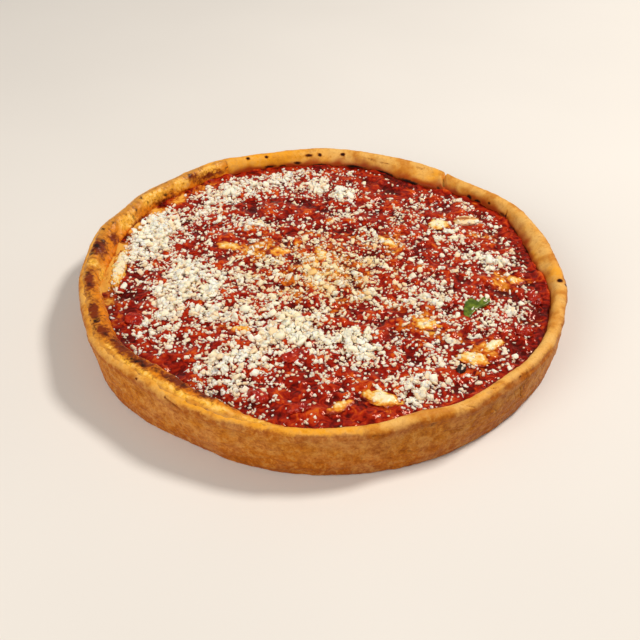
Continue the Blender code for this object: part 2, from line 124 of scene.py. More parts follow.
# Marks, as (azimuth, across, half-length, half-width, strength) in degrees and millimetres
BURNT_SPOTS = (
    (113.5, -2.2, 1.4, 1.0, 1.2), (108.0, -3.0, 1.3, 0.9, 1.2), (107.2, -9.8, 4.0, 0.9, 1.2),
    (103.2, -10.4, 3.0, 0.8, 1.0), (98.8, -9.0, 3.0, 0.9, 1.3), (95.0, -4.8, 3.0, 0.8, 0.9),
    (91.8, -4.8, 1.4, 0.9, 1.1), (85.0, -4.0, 1.6, 0.9, 1.2), (76.0, -4.5, 4.0, 0.7, 0.5),
    (71.8, -5.2, 5.0, 0.7, 0.5), (61.0, -3.2, 4.0, 0.7, 0.4), (92.0, -10.6, 8.0, 0.9, 1.1),
    (81.0, -10.8, 9.0, 0.9, 1.2), (71.0, -10.8, 9.0, 1.0, 1.4), (62.0, -10.6, 8.0, 1.1, 1.6),
    (42.5, -9.5, 2.0, 1.5, 1.5), (39.5, -10.4, 2.6, 1.6, 1.6), (35.8, -7.5, 1.1, 0.9, 1.2),
    (29.5, -9.4, 6.0, 1.2, 0.7), (-6.0, -0.5, 1.8, 1.6, 1.6), (-7.2, 3.2, 1.1, 1.0, 1.1),
    (-132.5, 3.5, 0.9, 0.7, 1.0), (-44.6, 3.0, 1.4, 0.8, 0.5), (-42.6, 14.0, 0.8, 5.0, 0.5),
    (22, -10.6, 8.0, 1.0, 0.9), (12, -10.8, 9.0, 1.0, 1.1), (3, -10.6, 5.0, 1.0, 1.0),
    (-14, -9.0, 5.0, 0.9, 0.7), (52.4, -9.6, 2.6, 1.4, 0.8), (-24, -9.4, 6.0, 0.9, 0.8),
    (-33, -9.0, 6.0, 0.9, 0.8), (-41, -8.6, 5.0, 0.8, 0.6),
)
OILY_STRETCHES = (
    (-112, 26, 1.1), (170, 46, 1.0), (140, 25, 0.9), (104, 14, 1.0), (55.5, 3, 1.0), (-2, 3.5, 1.3),
    (48, 3, 0.5), (-88, 12, 0.7), (-52, 9, 0.7),
)
OIL_REACH = 5.5
OIL_WANDER = 1.5
OIL_WANDER_LENGTH = 5 * MM

# How far up the wall the sauce stained it, and where higher, as (azimuth, half-width, amount)
STAIN_REACH = 4.5
STAIN_WANDER = 2.2
STAIN_WANDER_LENGTH = 6 * MM
STAINS = ((52, 3, 4.0), (37, 6, 2.0), (20, 8, 2.5), (-2, 4, 3.0), (-20, 8, 1.5), (78, 25, 1.5))


def smooth(low, high, value):
    """0 below low, 1 above high, and an even curve between."""
    share = min(1.0, max(0.0, (value - low) / (high - low)))
    return share * share * (3 - 2 * share)


@lru_cache(maxsize=None)
def bumps(azimuth, table):
    """The sum of a table's bumps at an azimuth in radians, in metres."""
    total = 0.0
    for centre, half_width, amount in table:
        away = (math.degrees(azimuth) - centre + 180) % 360 - 180
        total += amount * MM * math.exp(-((away / half_width) ** 2))
    return total


def polar(radius, azimuth, height):
    return Vector((radius * math.cos(azimuth), radius * math.sin(azimuth), height))


def arc(centre, radius, from_degrees, to_degrees, pieces):
    """Points of an arc in the shell's half section, each a radius and a height."""
    turns = [math.radians(from_degrees + (to_degrees - from_degrees) * i / pieces) for i in range(pieces + 1)]
    return [(centre[0] + radius * math.cos(turn), centre[1] + radius * math.sin(turn)) for turn in turns]


def fillet_centre():
    """Centre of the fillet between the crust's floor and its inner wall."""
    return BASE_RADIUS - WALL_AT_FLOOR - FLOOR_FILLET, FLOOR_THICKNESS + FLOOR_FILLET


def roll_centre():
    """Centre of the rim's rounded top."""
    return RIM_RADIUS - ROLL_RADIUS, RIM_HEIGHT - ROLL_RADIUS


def even_wall_radius(height):
    """The inner wall's radius in an even shell, straight from the fillet up to the roll."""
    foot, foot_height = fillet_centre()[0] + FLOOR_FILLET, fillet_centre()[1]
    top, top_height = roll_centre()[0] - ROLL_RADIUS, roll_centre()[1]
    return foot + (top - foot) * (height - foot_height) / (top_height - foot_height)


def outer_wall(pieces):
    """The outer wall from the neck under the roll to the rounded foot, with a slight belly."""
    neck = (RIM_RADIUS - NECK_DEPTH, roll_centre()[1] - ROLL_RADIUS)
    foot = (BASE_RADIUS, BASE_ROUNDING)
    points = []
    for i in range(pieces):
        share = i / pieces
        belly = BELLY * math.sin(math.pi * share)
        points.append((neck[0] + (foot[0] - neck[0]) * share + belly, neck[1] + (foot[1] - neck[1]) * share))
    return points


def shell_section():
    """The shell's half section from its floor up inside, over the rim and down outside to its foot."""
    inside = [(even_wall_radius(height * MM), height * MM) for height in INNER_ROWS]
    points = [(60 * MM, FLOOR_THICKNESS), (120 * MM, FLOOR_THICKNESS)]
    points += arc(fillet_centre(), FLOOR_FILLET, -90, 0, 3) + inside
    points += arc(roll_centre(), ROLL_RADIUS, 180, 0, 18) + outer_wall(28)
    points += arc((BASE_RADIUS - BASE_ROUNDING, BASE_ROUNDING), BASE_ROUNDING, 0, -90, 5)
    return points + [(110 * MM, 0), (50 * MM, 0)]


def with_across(section):
    """The section's points, each with its way across the rim and its direction out of the dough."""
    lengths = [0.0]
    for first, second in zip(section, section[1:]):
        lengths.append(lengths[-1] + math.dist(first, second))
    crest = lengths[section.index(max(section, key=lambda point: point[1]))]
    for i, point in enumerate(section):
        before, after = section[max(i - 1, 0)], section[min(i + 1, len(section) - 1)]
        along = Vector((after[0] - before[0], after[1] - before[1])).normalized()
        yield point, (lengths[i] - crest) / MM, Vector((-along.y, along.x))


def lean(height, azimuth):
    """How far the dough leans out at this height: nothing at the foot and all of it at the rim."""
    return smooth(4 * MM, RIM_HEIGHT, height) * bumps(azimuth, RIM_LEAN)


def slump(height, azimuth):
    """How far the inner wall has slumped in: most at the sauce, less at its foot, nothing on the roll."""
    foot = fillet_centre()[1]
    if height > SAUCE_EDGE_HEIGHT:
        share = 1 - smooth(SAUCE_EDGE_HEIGHT, RIM_HEIGHT, height)
    else:
        climb = max(0.0, (height - foot) / (SAUCE_EDGE_HEIGHT - foot))
        share = SLUMP_AT_FOOT + (1 - SLUMP_AT_FOOT) * climb
    return share * bumps(azimuth, WALL_SLUMP)


def spread(height, azimuth):
    """How far the outer wall's foot spreads out or tucks in: most at the base, nothing above the foot."""
    return (1 - smooth(0, FOOT_HEIGHT, height)) * bumps(azimuth, FOOT_SPREAD)


def wall_radius(height, azimuth):
    """The inner wall's radius below the roll, with the dough's lean and slump."""
    return even_wall_radius(height) + lean(height, azimuth) - slump(height, azimuth)


def uneven_point(radius, height, azimuth):
    """Where a point of the even shell lies in the hand-pressed one, as a radius and a height."""
    rise = smooth(SAUCE_EDGE_HEIGHT + MM, RIM_HEIGHT, height) * bumps(azimuth, RIM_RISE)
    moved = radius + lean(height, azimuth)
    on_inner_wall = fillet_centre()[0] - MM < radius < roll_centre()[0] and height > FLOOR_THICKNESS / 2
    if on_inner_wall:
        moved -= slump(height, azimuth)
    else:
        moved += spread(height, azimuth)
    if radius > roll_centre()[0] and height > BASE_ROUNDING / 2:
        moved += RIPPLE_DEPTH * noise.noise(polar(radius, azimuth, height) / RIPPLE_SIZE)
    return moved, height + rise


def past_seam(azimuth, across):
    """How far a place lies past the seam, in millimetres round the rim."""
    down = smooth(0, SAUCE_ACROSS, across) if across < 0 else 0.0
    seam = SEAM_AZIMUTH + (SEAM_AZIMUTH_AT_SAUCE - SEAM_AZIMUTH) * down
    away = (math.degrees(azimuth) - seam + 180) % 360 - 180
    return math.radians(away) * RIM_RADIUS / MM


def seam_shift(azimuth, across):
    """The lap's step inwards and the notch's drop at the seam, in metres."""
    past = past_seam(azimuth, across)
    if abs(past) > SEAM_REACH:
        return 0.0, 0.0
    inside = 1 - smooth(-4, 3, across)
    if past > 0:
        step = LAP_IN * math.exp(-past / LAP_IN_FADE) * smooth(0, 0.5, past)
    else:
        step = -LAP_BACK * math.exp(past / LAP_BACK_FADE) * smooth(0, 0.4, -past)
    on_rim = smooth(-9, -5, across) * (1 - smooth(4, 8, across))
    drop = SEAM_DEPTH * on_rim * max(0.0, 1 - abs(past) * MM / (0.75 * SEAM_WIDTH))
    return step * inside, drop


def past_segment(azimuth, across, crease):
    """How far a place lies from a crease, in millimetres."""
    arc_mm = math.radians(1) * RIM_RADIUS / MM
    start = Vector((crease[0] * arc_mm, crease[1]))
    end = Vector((crease[2] * arc_mm, crease[3]))
    turn = (math.degrees(azimuth) - crease[0] + 180) % 360 - 180
    place = Vector(((crease[0] + turn) * arc_mm, across))
    along = min(1.0, max(0.0, (place - start).dot(end - start) / (end - start).length_squared))
    return (place - start.lerp(end, along)).length


def crease_depth(azimuth, across):
    """How deep the creases are at a place, in millimetres."""
    depth = 0.0
    for crease in CREASES:
        turn = (math.degrees(azimuth) - (crease[0] + crease[2]) / 2 + 180) % 360 - 180
        if abs(turn) < abs(crease[2] - crease[0]) / 2 + 2 and min(crease[1], crease[3]) - 5 < across:
            away = past_segment(azimuth, across, crease)
            depth += crease[5] * math.exp(-((away / crease[4]) ** 2))
            depth -= 0.35 * crease[5] * math.exp(-(((away - 2.2 * crease[4]) / crease[4]) ** 2))
    return depth


def marks(azimuth, across, table):
    """The sum of a table's marks at a place on the rim."""
    total = 0.0
    for centre, centre_across, half_length, half_width, strength in table:
        off = (across - centre_across) / half_width
        if abs(off) < 3:
            away = (math.degrees(azimuth) - centre + 180) % 360 - 180
            along = math.radians(away) * RIM_RADIUS / MM / half_length
            if abs(along) < 3:
                total += strength * math.exp(-(along**2) - off**2)
    return total


def grain(place, sizes):
    """Layers of unevenness, from (size, height) pairs in millimetres."""
    return sum(height * MM * noise.noise(place / (size * MM)) for size, height in sizes)


def shell_relief(place, azimuth, across):
    """The dough's own relief: grain all over, and outside long wrinkles and the rolled bead's ragged edge."""
    relief = grain(place, SHELL_GRAIN)
    outside = smooth(3, 8, across) * smooth(0.4 * MM, 5 * MM, place.z)
    if outside > 0:
        long_way = Vector((place.x / WRINKLE_LENGTH, place.y / WRINKLE_LENGTH, place.z / WRINKLE_WIDTH))
        relief += outside * WRINKLE_HEIGHT * noise.noise(long_way)
        around = polar(RIM_RADIUS, azimuth, 0)
        strength = 0.55 + 0.9 * noise.noise(around / GROOVE_LENGTH + Vector((0, 0, 4)))
        from_edge = (across - bead_edge(azimuth)) / GROOVE_WIDTH
        relief -= GROOVE_DEPTH * max(0.0, strength) * math.exp(-(from_edge**2))
    return relief


def bead_edge(azimuth):
    """Where the rolled bead ends on the outer wall, as a way across."""
    around = polar(RIM_RADIUS, azimuth, 0)
    raised = bumps(azimuth, BEAD_RAISED) / MM
    return BEAD_EDGE + raised + BEAD_WANDER * noise.noise(around / BEAD_WANDER_LENGTH)


def column_azimuths():
    """Azimuths of the shell's columns, closer together at the seam."""
    seam, window = math.radians(SEAM_AZIMUTH - 1), math.radians(SEAM_WINDOW)
    even = [math.tau * i / CRUST_COLUMNS for i in range(CRUST_COLUMNS)]
    fine = [seam + window * (2 * i / SEAM_COLUMNS - 1) for i in range(SEAM_COLUMNS + 1)]
    return sorted([azimuth for azimuth in even if abs(azimuth - seam) > window] + fine)


def ring_faces(rings, around):
    """Quads between rings of as many points each, laid one after another."""
    for ring in range(rings - 1):
        for i in range(around):
            j = (i + 1) % around
            yield (ring * around + i, ring * around + j, (ring + 1) * around + j, (ring + 1) * around + i)


def new_object(name, mesh, material):
    mesh.materials.clear()
    mesh.materials.append(material)
    mesh.shade_smooth()
    made = bpy.data.objects.new(name, mesh)
    bpy.context.scene.collection.objects.link(made)
    return made


def turned_out(mesh, bm):
    """The mesh with the faces of a bmesh, all turned outwards."""
    bmesh.ops.recalc_face_normals(bm, faces=bm.faces)
    bm.to_mesh(mesh)
    bm.free()
    return mesh


def mesh_with_fields(name, points, faces, fields):
    """A closed mesh that keeps numbers for each of its points, which its material reads."""
    mesh = bpy.data.meshes.new(name)
    mesh.from_pydata(points, [], faces)
    for field, values in fields.items():
        mesh.attributes.new(field, "FLOAT", "POINT").data.foreach_set("value", values)
    bm = bmesh.new()
    bm.from_mesh(mesh)
    return turned_out(mesh, bm)


def linear(colour):
    """An sRGB hex colour as linear red, green, blue and alpha."""
    shares = [int(colour[i:i + 2], 16) / 255 for i in (1, 3, 5)]
    return *[share / 12.92 if share <= 0.04045 else ((share + 0.055) / 1.055) ** 2.4 for share in shares], 1.0


def feed(tree, node, inputs):
    """Set a node's inputs to values, or link them to sockets or to what other nodes put out."""
    for name, value in inputs.items():
        if isinstance(value, bpy.types.Node):
            value = next(socket for socket in value.outputs if socket.enabled)
        if isinstance(value, bpy.types.NodeSocket):
            tree.links.new(value, node.inputs[name])
        else:
            node.inputs[name].default_value = value


def add(tree, kind, inputs=(), stops=(), **settings):
    """Add a node with its settings, its colour stops and its inputs."""
    node = tree.nodes.new(kind)
    for name, value in settings.items():
        setattr(node, name, value)
    for i, (place, colour) in enumerate(stops):
        stop = node.color_ramp.elements[i] if i < 2 else node.color_ramp.elements.new(place)
        stop.position = place
        stop.color = linear(colour)
    feed(tree, node, dict(inputs))
    return node


def food_material(name, fixed):
    """A material, its tree, its shader with the inputs that are the same all over, and its coordinates."""
    made = bpy.data.materials.new(name)
    made.use_nodes = True
    tree = made.node_tree
    shader = tree.nodes["Principled BSDF"]
    feed(tree, shader, fixed)
    return made, tree, shader, add(tree, "ShaderNodeTexCoord").outputs["Object"]


def baked_dough():
    """Baked yellow dough: matt and golden, with painted shade under the bead, toasted brown near the foot,
    mottled by oil.
    """
    made, tree, shader, place = food_material("baked_golden_dough", {"Specular IOR Level": 0.08})
    across, oily, stained, burnt = [
        add(tree, "ShaderNodeAttribute", attribute_name=name).outputs["Fac"]
        for name in ("across", "oily", "stained", "burnt")]
    patches = add(tree, "ShaderNodeTexNoise", {"Vector": place, "Scale": 1 / (16 * MM), "Detail": 3.0})
    mottle = add(tree, "ShaderNodeTexNoise", {
        "Vector": place, "Scale": 1 / (4.5 * MM), "Detail": 5.0, "Roughness": 0.7})
    fine = add(tree, "ShaderNodeTexNoise", {"Vector": place, "Scale": 1 / (1.3 * MM), "Detail": 3.0})
    on_wall = add(tree, "ShaderNodeMapRange", {0: across, 1: 1.0, 2: 7.0})

    # Golden, by the way across from the sauce over the rim to the foot, with a dark line of painted shade
    # just under the bead's edge
    swayed = add(tree, "ShaderNodeMath", {0: mottle, 1: 2.6, 2: across}, operation="MULTIPLY_ADD")
    zone = add(tree, "ShaderNodeMapRange", {0: swayed, 1: -10.7, 2: 34.3})
    colour = add(tree, "ShaderNodeValToRGB", {0: zone}, stops=(
        (0.0, "#A9560F"), (0.09, "#E8A43A"), (0.20, "#ECB054"), (0.335, "#E2A044"), (0.385, "#A2500C"),
        (0.425, "#B2631A"), (0.49, "#C47C26"), (0.64, "#C87E28"), (0.82, "#BE6A12"), (1.0, "#A4500A")))

    # Broad patches of paler and of browner dough, and small toasted and pale spots. On the rim the paler
    # patches are lighter still: partly pale dough, partly a painted highlight
    pale_and_highlit = add(tree, "ShaderNodeMix", {
        "Factor": on_wall, "A": linear("#F0C272"), "B": linear("#CA8646")}, data_type="RGBA")
    paler = add(tree, "ShaderNodeMapRange", {0: patches, 1: 0.46, 2: 0.62, 4: 0.6})
    browner = add(tree, "ShaderNodeMapRange", {0: patches, 1: 0.5, 2: 0.4, 3: 0.0, 4: 0.7})
    most_toast = add(tree, "ShaderNodeMath", {0: on_wall, 1: 0.45, 2: 0.3}, operation="MULTIPLY_ADD")
    toast = add(tree, "ShaderNodeMapRange", {0: mottle, 1: 0.5, 2: 0.66, 3: 0.0, 4: most_toast})
    pale_spots = add(tree, "ShaderNodeMapRange", {0: mottle, 1: 0.49, 2: 0.36, 3: 0.0, 4: 0.6})

    # Oil on the bead, and burnt marks from brown to black, which also carry painted shade in the creases
    oil_gaps = add(tree, "ShaderNodeMath", {0: mottle, 1: 2.8, 2: -0.9}, operation="MULTIPLY_ADD")
    oil = add(tree, "ShaderNodeMath", {0: oily, 1: oil_gaps}, operation="SUBTRACT", use_clamp=True)
    caught = add(tree, "ShaderNodeMath", {0: mottle, 1: -1.3, 2: burnt}, operation="MULTIPLY_ADD")
    char = add(tree, "ShaderNodeMath", {0: caught, 1: 0.6}, operation="ADD", use_clamp=True)
    charred = add(tree, "ShaderNodeValToRGB", {0: char}, stops=(
        (0.15, "#A5560F"), (0.5, "#5E280A"), (0.9, "#1E0D06")))
    char_share = add(tree, "ShaderNodeMapRange", {0: char, 1: 0.05, 2: 0.45})

    # These and the sauce's stains, each laid over the last
    for share, upper in (
            (paler, pale_and_highlit), (browner, linear("#C4741E")), (toast, linear("#9A4E0C")),
            (pale_spots, linear("#E0A656")), (oil, linear("#F2A62A")), (stained, linear("#9C3A0E")),
            (char_share, charred)):
        colour = add(tree, "ShaderNodeMix", {"Factor": share, "A": colour, "B": upper}, data_type="RGBA")

    # The crumb's speckle and roughness, both stronger on the dry wall than on the oily bead
    speckle = add(tree, "ShaderNodeValToRGB", {0: fine}, stops=((0.32, "#C8A888"), (0.58, "#FFFFFF")))
    speckled = add(tree, "ShaderNodeMath", {0: on_wall, 1: 0.35, 2: 0.15}, operation="MULTIPLY_ADD")
    grained = add(tree, "ShaderNodeMix", {
        "Factor": speckled, "A": colour, "B": speckle}, data_type="RGBA", blend_type="MULTIPLY")
    sheen = add(tree, "ShaderNodeMapRange", {0: oil, 1: 0.0, 2: 0.8, 3: 0.5, 4: 0.28})
    crumb = add(tree, "ShaderNodeMath", {0: fine, 1: 0.5, 2: mottle}, operation="MULTIPLY_ADD")
    dryness = add(tree, "ShaderNodeMath", {0: on_wall, 1: 0.5, 2: 0.25}, operation="MULTIPLY_ADD")
    bump = add(tree, "ShaderNodeBump", {"Height": crumb, "Strength": dryness, "Distance": 0.9 * MM})
    feed(tree, shader, {"Base Color": grained, "Roughness": sheen, "Normal": bump})
    return made


def make_crust():
    azimuths = column_azimuths()
    points = []
    fields = {"across": [], "burnt": [], "oily": [], "stained": []}
    section = list(with_across(shell_section()))
    for (even_radius, even_height), across, way_out in section:
        for azimuth in azimuths:
            radius, height = uneven_point(even_radius, even_height, azimuth)
            place = polar(radius, azimuth, height)
            seen = smooth(HIDDEN_ACROSS, SHOWN_ACROSS, across)
            if across > SAUCE_ACROSS - 4 and height > 0.2 * MM:
                out = shell_relief(place, azimuth, across) * seen - crease_depth(azimuth, across) * MM
                step, drop = seam_shift(azimuth, across)
                radius += out * way_out.x - step
                height += out * way_out.y - drop
            points.append(polar(radius, azimuth, height))
            # The way across is shifted by the bead's edge, so that the painted shade under the bead follows
            # it
            fields["across"].append(across + (BEAD_EDGE - bead_edge(azimuth)) * smooth(-1, 2.5, across))
            # Deeper creases are darkened too: painted shade added to the burnt marks
            fields["burnt"].append(marks(azimuth, across, BURNT_SPOTS) + 0.6 * crease_depth(azimuth, across))
            swayed = across + OIL_WANDER * noise.noise(place / OIL_WANDER_LENGTH)
            film = bumps(azimuth, OILY_STRETCHES) / MM
            fields["oily"].append(film * (1 - smooth(0.5, OIL_REACH, swayed)) * seen)
            swayed = across + STAIN_WANDER * noise.noise(place / STAIN_WANDER_LENGTH)
            reach = STAIN_REACH + bumps(azimuth, STAINS) / MM
            wash = 1 - smooth(SAUCE_ACROSS + 0.6, SAUCE_ACROSS + reach, swayed)
            fields["stained"].append(wash * seen)
    around = len(azimuths)
    faces = list(ring_faces(len(section), around))
    faces.append(tuple(range(around)))
    faces.append(tuple(reversed(range((len(section) - 1) * around, len(section) * around))))
    return new_object("crust_shell", mesh_with_fields("crust_shell", points, faces, fields), baked_dough())


crust = make_crust()
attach(crust, "root")
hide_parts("crust")

# ---------------------------------------------------------------------------------------------------------
# The tomato filling
# Crushed tomatoes cooked down to a thick, glossy, oily sauce and ladled in up to the rim's foot. Lumps of
# tomato stand up under its skin, and it is a little higher where cheese was heaped on it.
# ---------------------------------------------------------------------------------------------------------

WALL_GAP = 0.7 * MM
SAUCE_DOME = 1.4 * MM
DOME_WIDTH = 60 * MM
CHUNK_RELIEF = 2.0 * MM
CHUNK_SIZE = 11 * MM
CALM_WIDTH = 12 * MM
SAUCE_GRID = 270
PULP_SIZE = 6.0 * MM
PULP_REACH = 0.62
PULP_HEIGHT = 1.1 * MM
PULP_SUNK = 0.45
PULP_WARP = 2.2 * MM
PULP_WARP_LENGTH = 5 * MM
PULP_GRAIN = ((3.6, 0.5), (2.0, 0.16))
EDGE_RISE = 0.9 * MM
EDGE_WIDTH = 4 * MM
EDGE_WANDER_LENGTH = 8 * MM
INTO_CRUST = 0.2 * MM

# How high lumps stand to be painted brightest, how much of a heap counts as level, and how dark the painted
# shade along the sauce's edge by the wall is
BRIGHTEST_RISE = 4.5 * MM
HEAP_EVENED = 0.85
DARK_EDGE = 0.14
DARK_EDGE_WIDTH = 7 * MM

# Where the sauce ran up the wall, as (azimuth, half-width, amount)
RUN_UPS = ((-1, 3, 3.0), (-8, 3, 1.6), (50.5, 2, 1.6), (28.8, 1.5, 1.2), (76, 18, -1.0), (-30, 6, -0.6))

# Where melted cheese shows through the sauce, as (x, y, radius, share)
CHEESY_PLACES = (
    (0, 0, 42, 0.55), (-45, 24, 16, 0.5), (44, 31, 13, 0.4), (58, -52, 17, 0.5), (88, -75, 15, 0.5),
    (26, -116, 13, 0.35), (112, -5, 14, 0.4), (-48, -60, 11, 0.3), (77, 58, 12, 0.3), (-124, 2, 10, 0.4),
    (105, 40, 10, 0.3), (-138, 4, 9, 1.3), (-134, 25, 9, 1.1), (-126, 48, 9, 0.9), (-117, 68, 9, 0.8),
    (-103, 87, 8, 0.7), (-87, 104, 8, 0.6), (-137, -16, 8, 1.0), (-131, -34, 8, 0.7), (-122, -58, 8, 0.4),
)

# Where the sauce is painted darker, mostly painted shade by the wall and partly deeper sauce, as (x, y,
# radius, share)
SHADE_AND_DEPTH_PLACES = (
    (130, -12, 15, 0.26), (126, -38, 14, 0.26), (112, -68, 14, 0.2), (92, -96, 13, 0.12),
    (50, 116, 16, 0.2), (-118, -36, 14, 0.08), (-5, 78, 14, 0.1), (126, 26, 12, 0.14),
)

# Heaps of grated cheese, as (x, y, radius, depth)
CHEESE_HEAPS = (
    (-117, 45, 17, 1.7), (-109, 20, 17, 1.7), (-68, 92, 12, 1.4), (-48, 104, 11, 1.4), (-28, 114, 11, 1.2),
    (-4, 100, 11, 1.2), (11, 92, 9, 1.2), (-87, -10, 15, 1.9), (-80, -27, 15, 1.9), (-94, -52, 9, 1.4),
    (-51, -88, 15, 2.0), (-18, -62, 16, 2.0), (18, -70, 10, 1.4), (49, -106, 10, 1.6), (106, 13, 11, 1.5),
    (86, 42, 10, 1.2), (66, -31, 11, 1.2), (118, -38, 9, 1.2), (4, -4, 22, 0.8), (-34, -40, 16, 0.8),
    (94, 86, 7, 1.0),
)

# Toppings that lie in the sauce, as (x, y, half-length, half-width, turn)
MELTED_CHEESE = (
    (-62, 26, 10, 5.0, -15), (-30, 20, 9, 6.5, -5), (-2, 17, 10, 4.5, 105), (42, 33, 11, 4.5, -52),
    (59, -52, 10, 6.0, -15), (-48, -60, 8, 3.6, 8), (84, -81, 10, 5.5, -18), (97, -69, 8, 3.4, 38),
    (119, -6, 6.5, 5.0, -20), (9, -121, 9, 3.8, 38), (31, -114, 11, 5.5, -20), (77, 57, 7, 6.0, 20),
)
MELTED_BY_RIM = (-129.5, 3, 21, 4.6, 92)
TOMATO_CHUNKS = (
    (128, -22, 8, 4.6, 100), (117, -55, 5.5, 5.0, 0), (-16, -82, 8, 5.5, 30), (-35, -114, 7, 4.5, -40),
    (-13, -123, 6, 4.0, 15), (-112, -50, 7, 5.0, -60),
)
BROWNED_SLICE = (96, 62, 8, 5.5, 8)
OLIVE_BIT = (76, -90, 3.4, 2.6, 60)
PEPPER_BED = (91.5, -35.5, 13, 6.5, 48)
TOPPING_BEDS = (*MELTED_CHEESE, MELTED_BY_RIM, *TOMATO_CHUNKS, BROWNED_SLICE, OLIVE_BIT, PEPPER_BED)
BED_FADE = (0.7, 1.3)


def reach_in(bed, x, y):
    """How far x, y lies from the middle of a topping's bed, where 1 is its edge."""
    away_x, away_y = x - bed[0] * MM, y - bed[1] * MM
    turn = math.radians(bed[4])
    along = away_x * math.cos(turn) + away_y * math.sin(turn)
    aside = away_y * math.cos(turn) - away_x * math.sin(turn)
    return math.hypot(along / (bed[2] * MM), aside / (bed[3] * MM))


def calm_level(radius):
    """The sauce's height without its chunks: level with its edge at the wall, and a little domed."""
    from_wall = even_wall_radius(SAUCE_EDGE_HEIGHT) - radius
    return SAUCE_EDGE_HEIGHT + SAUCE_DOME * smooth(0, DOME_WIDTH, from_wall)


def heap_shares(x, y):
    """How much of each heap's middle lies at x, y, with the heap's depth."""
    for heap_x, heap_y, radius, depth in CHEESE_HEAPS:
        away = math.hypot(x - heap_x * MM, y - heap_y * MM) / (radius * MM)
        if away < 2.6:
            yield math.exp(-away * away), depth * MM


def sauce_height(x, y):
    """The height of the sauce's top, with its chunks and the heaps of cheese, and flat under its toppings."""
    radius = math.hypot(x, y)
    edge = wall_radius(SAUCE_EDGE_HEIGHT, math.atan2(y, x)) - WALL_GAP
    flat = Vector((x, y, 0))
    relief = CHUNK_RELIEF * noise.noise(flat / CHUNK_SIZE)
    relief += sum(share * depth for share, depth in heap_shares(x, y))
    pull = [noise.noise(flat / PULP_WARP_LENGTH + Vector((0, 0, layer))) for layer in (11.3, 23.7, 37.1)]
    warped = flat + PULP_WARP * Vector(pull)
    nearest = noise.voronoi(warped / PULP_SIZE)[0][0]
    pulp = PULP_HEIGHT * (max(0.0, 1 - (nearest / PULP_REACH) ** 2) - PULP_SUNK)
    under_topping = 1.0
    for bed in TOPPING_BEDS:
        under_topping *= smooth(*BED_FADE, reach_in(bed, x, y))
    inwards = smooth(0, CALM_WIDTH, edge - radius)
    creep = EDGE_RISE * (0.3 + 1.6 * noise.noise(flat / EDGE_WANDER_LENGTH))
    creep += bumps(math.atan2(y, x), RUN_UPS)
    creep *= 1 - smooth(0, EDGE_WIDTH, edge - radius)
    fine = (pulp + grain(flat, PULP_GRAIN)) * (0.35 + 0.65 * smooth(0, EDGE_WIDTH, edge - radius))
    return calm_level(radius) + inwards * relief * under_topping + fine * (0.7 + 0.3 * under_topping) + creep


def gathered(x, y, table):
    """The sum of a table's round patches at x, y."""
    return sum(share * math.exp(-((x - cx * MM) ** 2 + (y - cy * MM) ** 2) / (radius * MM) ** 2)
               for cx, cy, radius, share in table)


def tomato_sauce():
    """Oily crushed tomato: wet and deep red, orange where cheese and oil rose; darker in its hollows, partly
    as painted shade, and in painted shade by the wall.
    """
    made, tree, shader, place = food_material("wet_tomato_sauce", {
        "Roughness": 0.13, "Specular IOR Level": 0.3, "Specular Tint": linear("#FFC8B0")})
    raised, cheesy = [
        add(tree, "ShaderNodeAttribute", attribute_name=name).outputs["Fac"] for name in ("raised", "cheesy")]
    patches = add(tree, "ShaderNodeTexNoise", {"Vector": place, "Scale": 1 / (13 * MM), "Detail": 3.0})
    pulp = add(tree, "ShaderNodeTexNoise", {
        "Vector": place, "Scale": 1 / (5.5 * MM), "Detail": 2.5, "Distortion": 1.6})

    # Deep red in the hollows, brighter where the pulp stands up: partly deeper sauce, partly painted shade
    # and light by height
    lifted = add(tree, "ShaderNodeMath", {0: pulp, 1: 2.0, 2: raised}, operation="MULTIPLY_ADD")
    swayed = add(tree, "ShaderNodeMath", {0: patches, 1: 0.7, 2: lifted}, operation="MULTIPLY_ADD")
    evened = add(tree, "ShaderNodeMath", {0: swayed, 1: 1.35}, operation="SUBTRACT")
    red = add(tree, "ShaderNodeValToRGB", {0: evened}, stops=(
        (0.0, "#460603"), (0.25, "#700C05"), (0.48, "#961907"), (0.76, "#B4300C"), (1.0, "#CE5416")))

    # Amber streaks of cheese and oil
    shown = add(tree, "ShaderNodeMath", {0: patches, 1: 1.6, 2: cheesy}, operation="MULTIPLY_ADD")
    streaked = add(tree, "ShaderNodeMath", {0: pulp, 1: 0.9, 2: shown}, operation="MULTIPLY_ADD")
    risen = add(tree, "ShaderNodeMapRange", {0: streaked, 1: 1.5, 2: 1.95})
    amber = add(tree, "ShaderNodeValToRGB", {0: risen}, stops=(
        (0.0, "#B8420F"), (0.6, "#DC7F1C"), (1.0, "#EBAA45")))
    oiled = add(tree, "ShaderNodeMix", {"Factor": risen, "A": red, "B": amber}, data_type="RGBA")
    bump = add(tree, "ShaderNodeBump", {"Height": pulp, "Strength": 0.5, "Distance": 1.0 * MM})
    feed(tree, shader, {"Base Color": oiled, "Normal": bump})
    return made


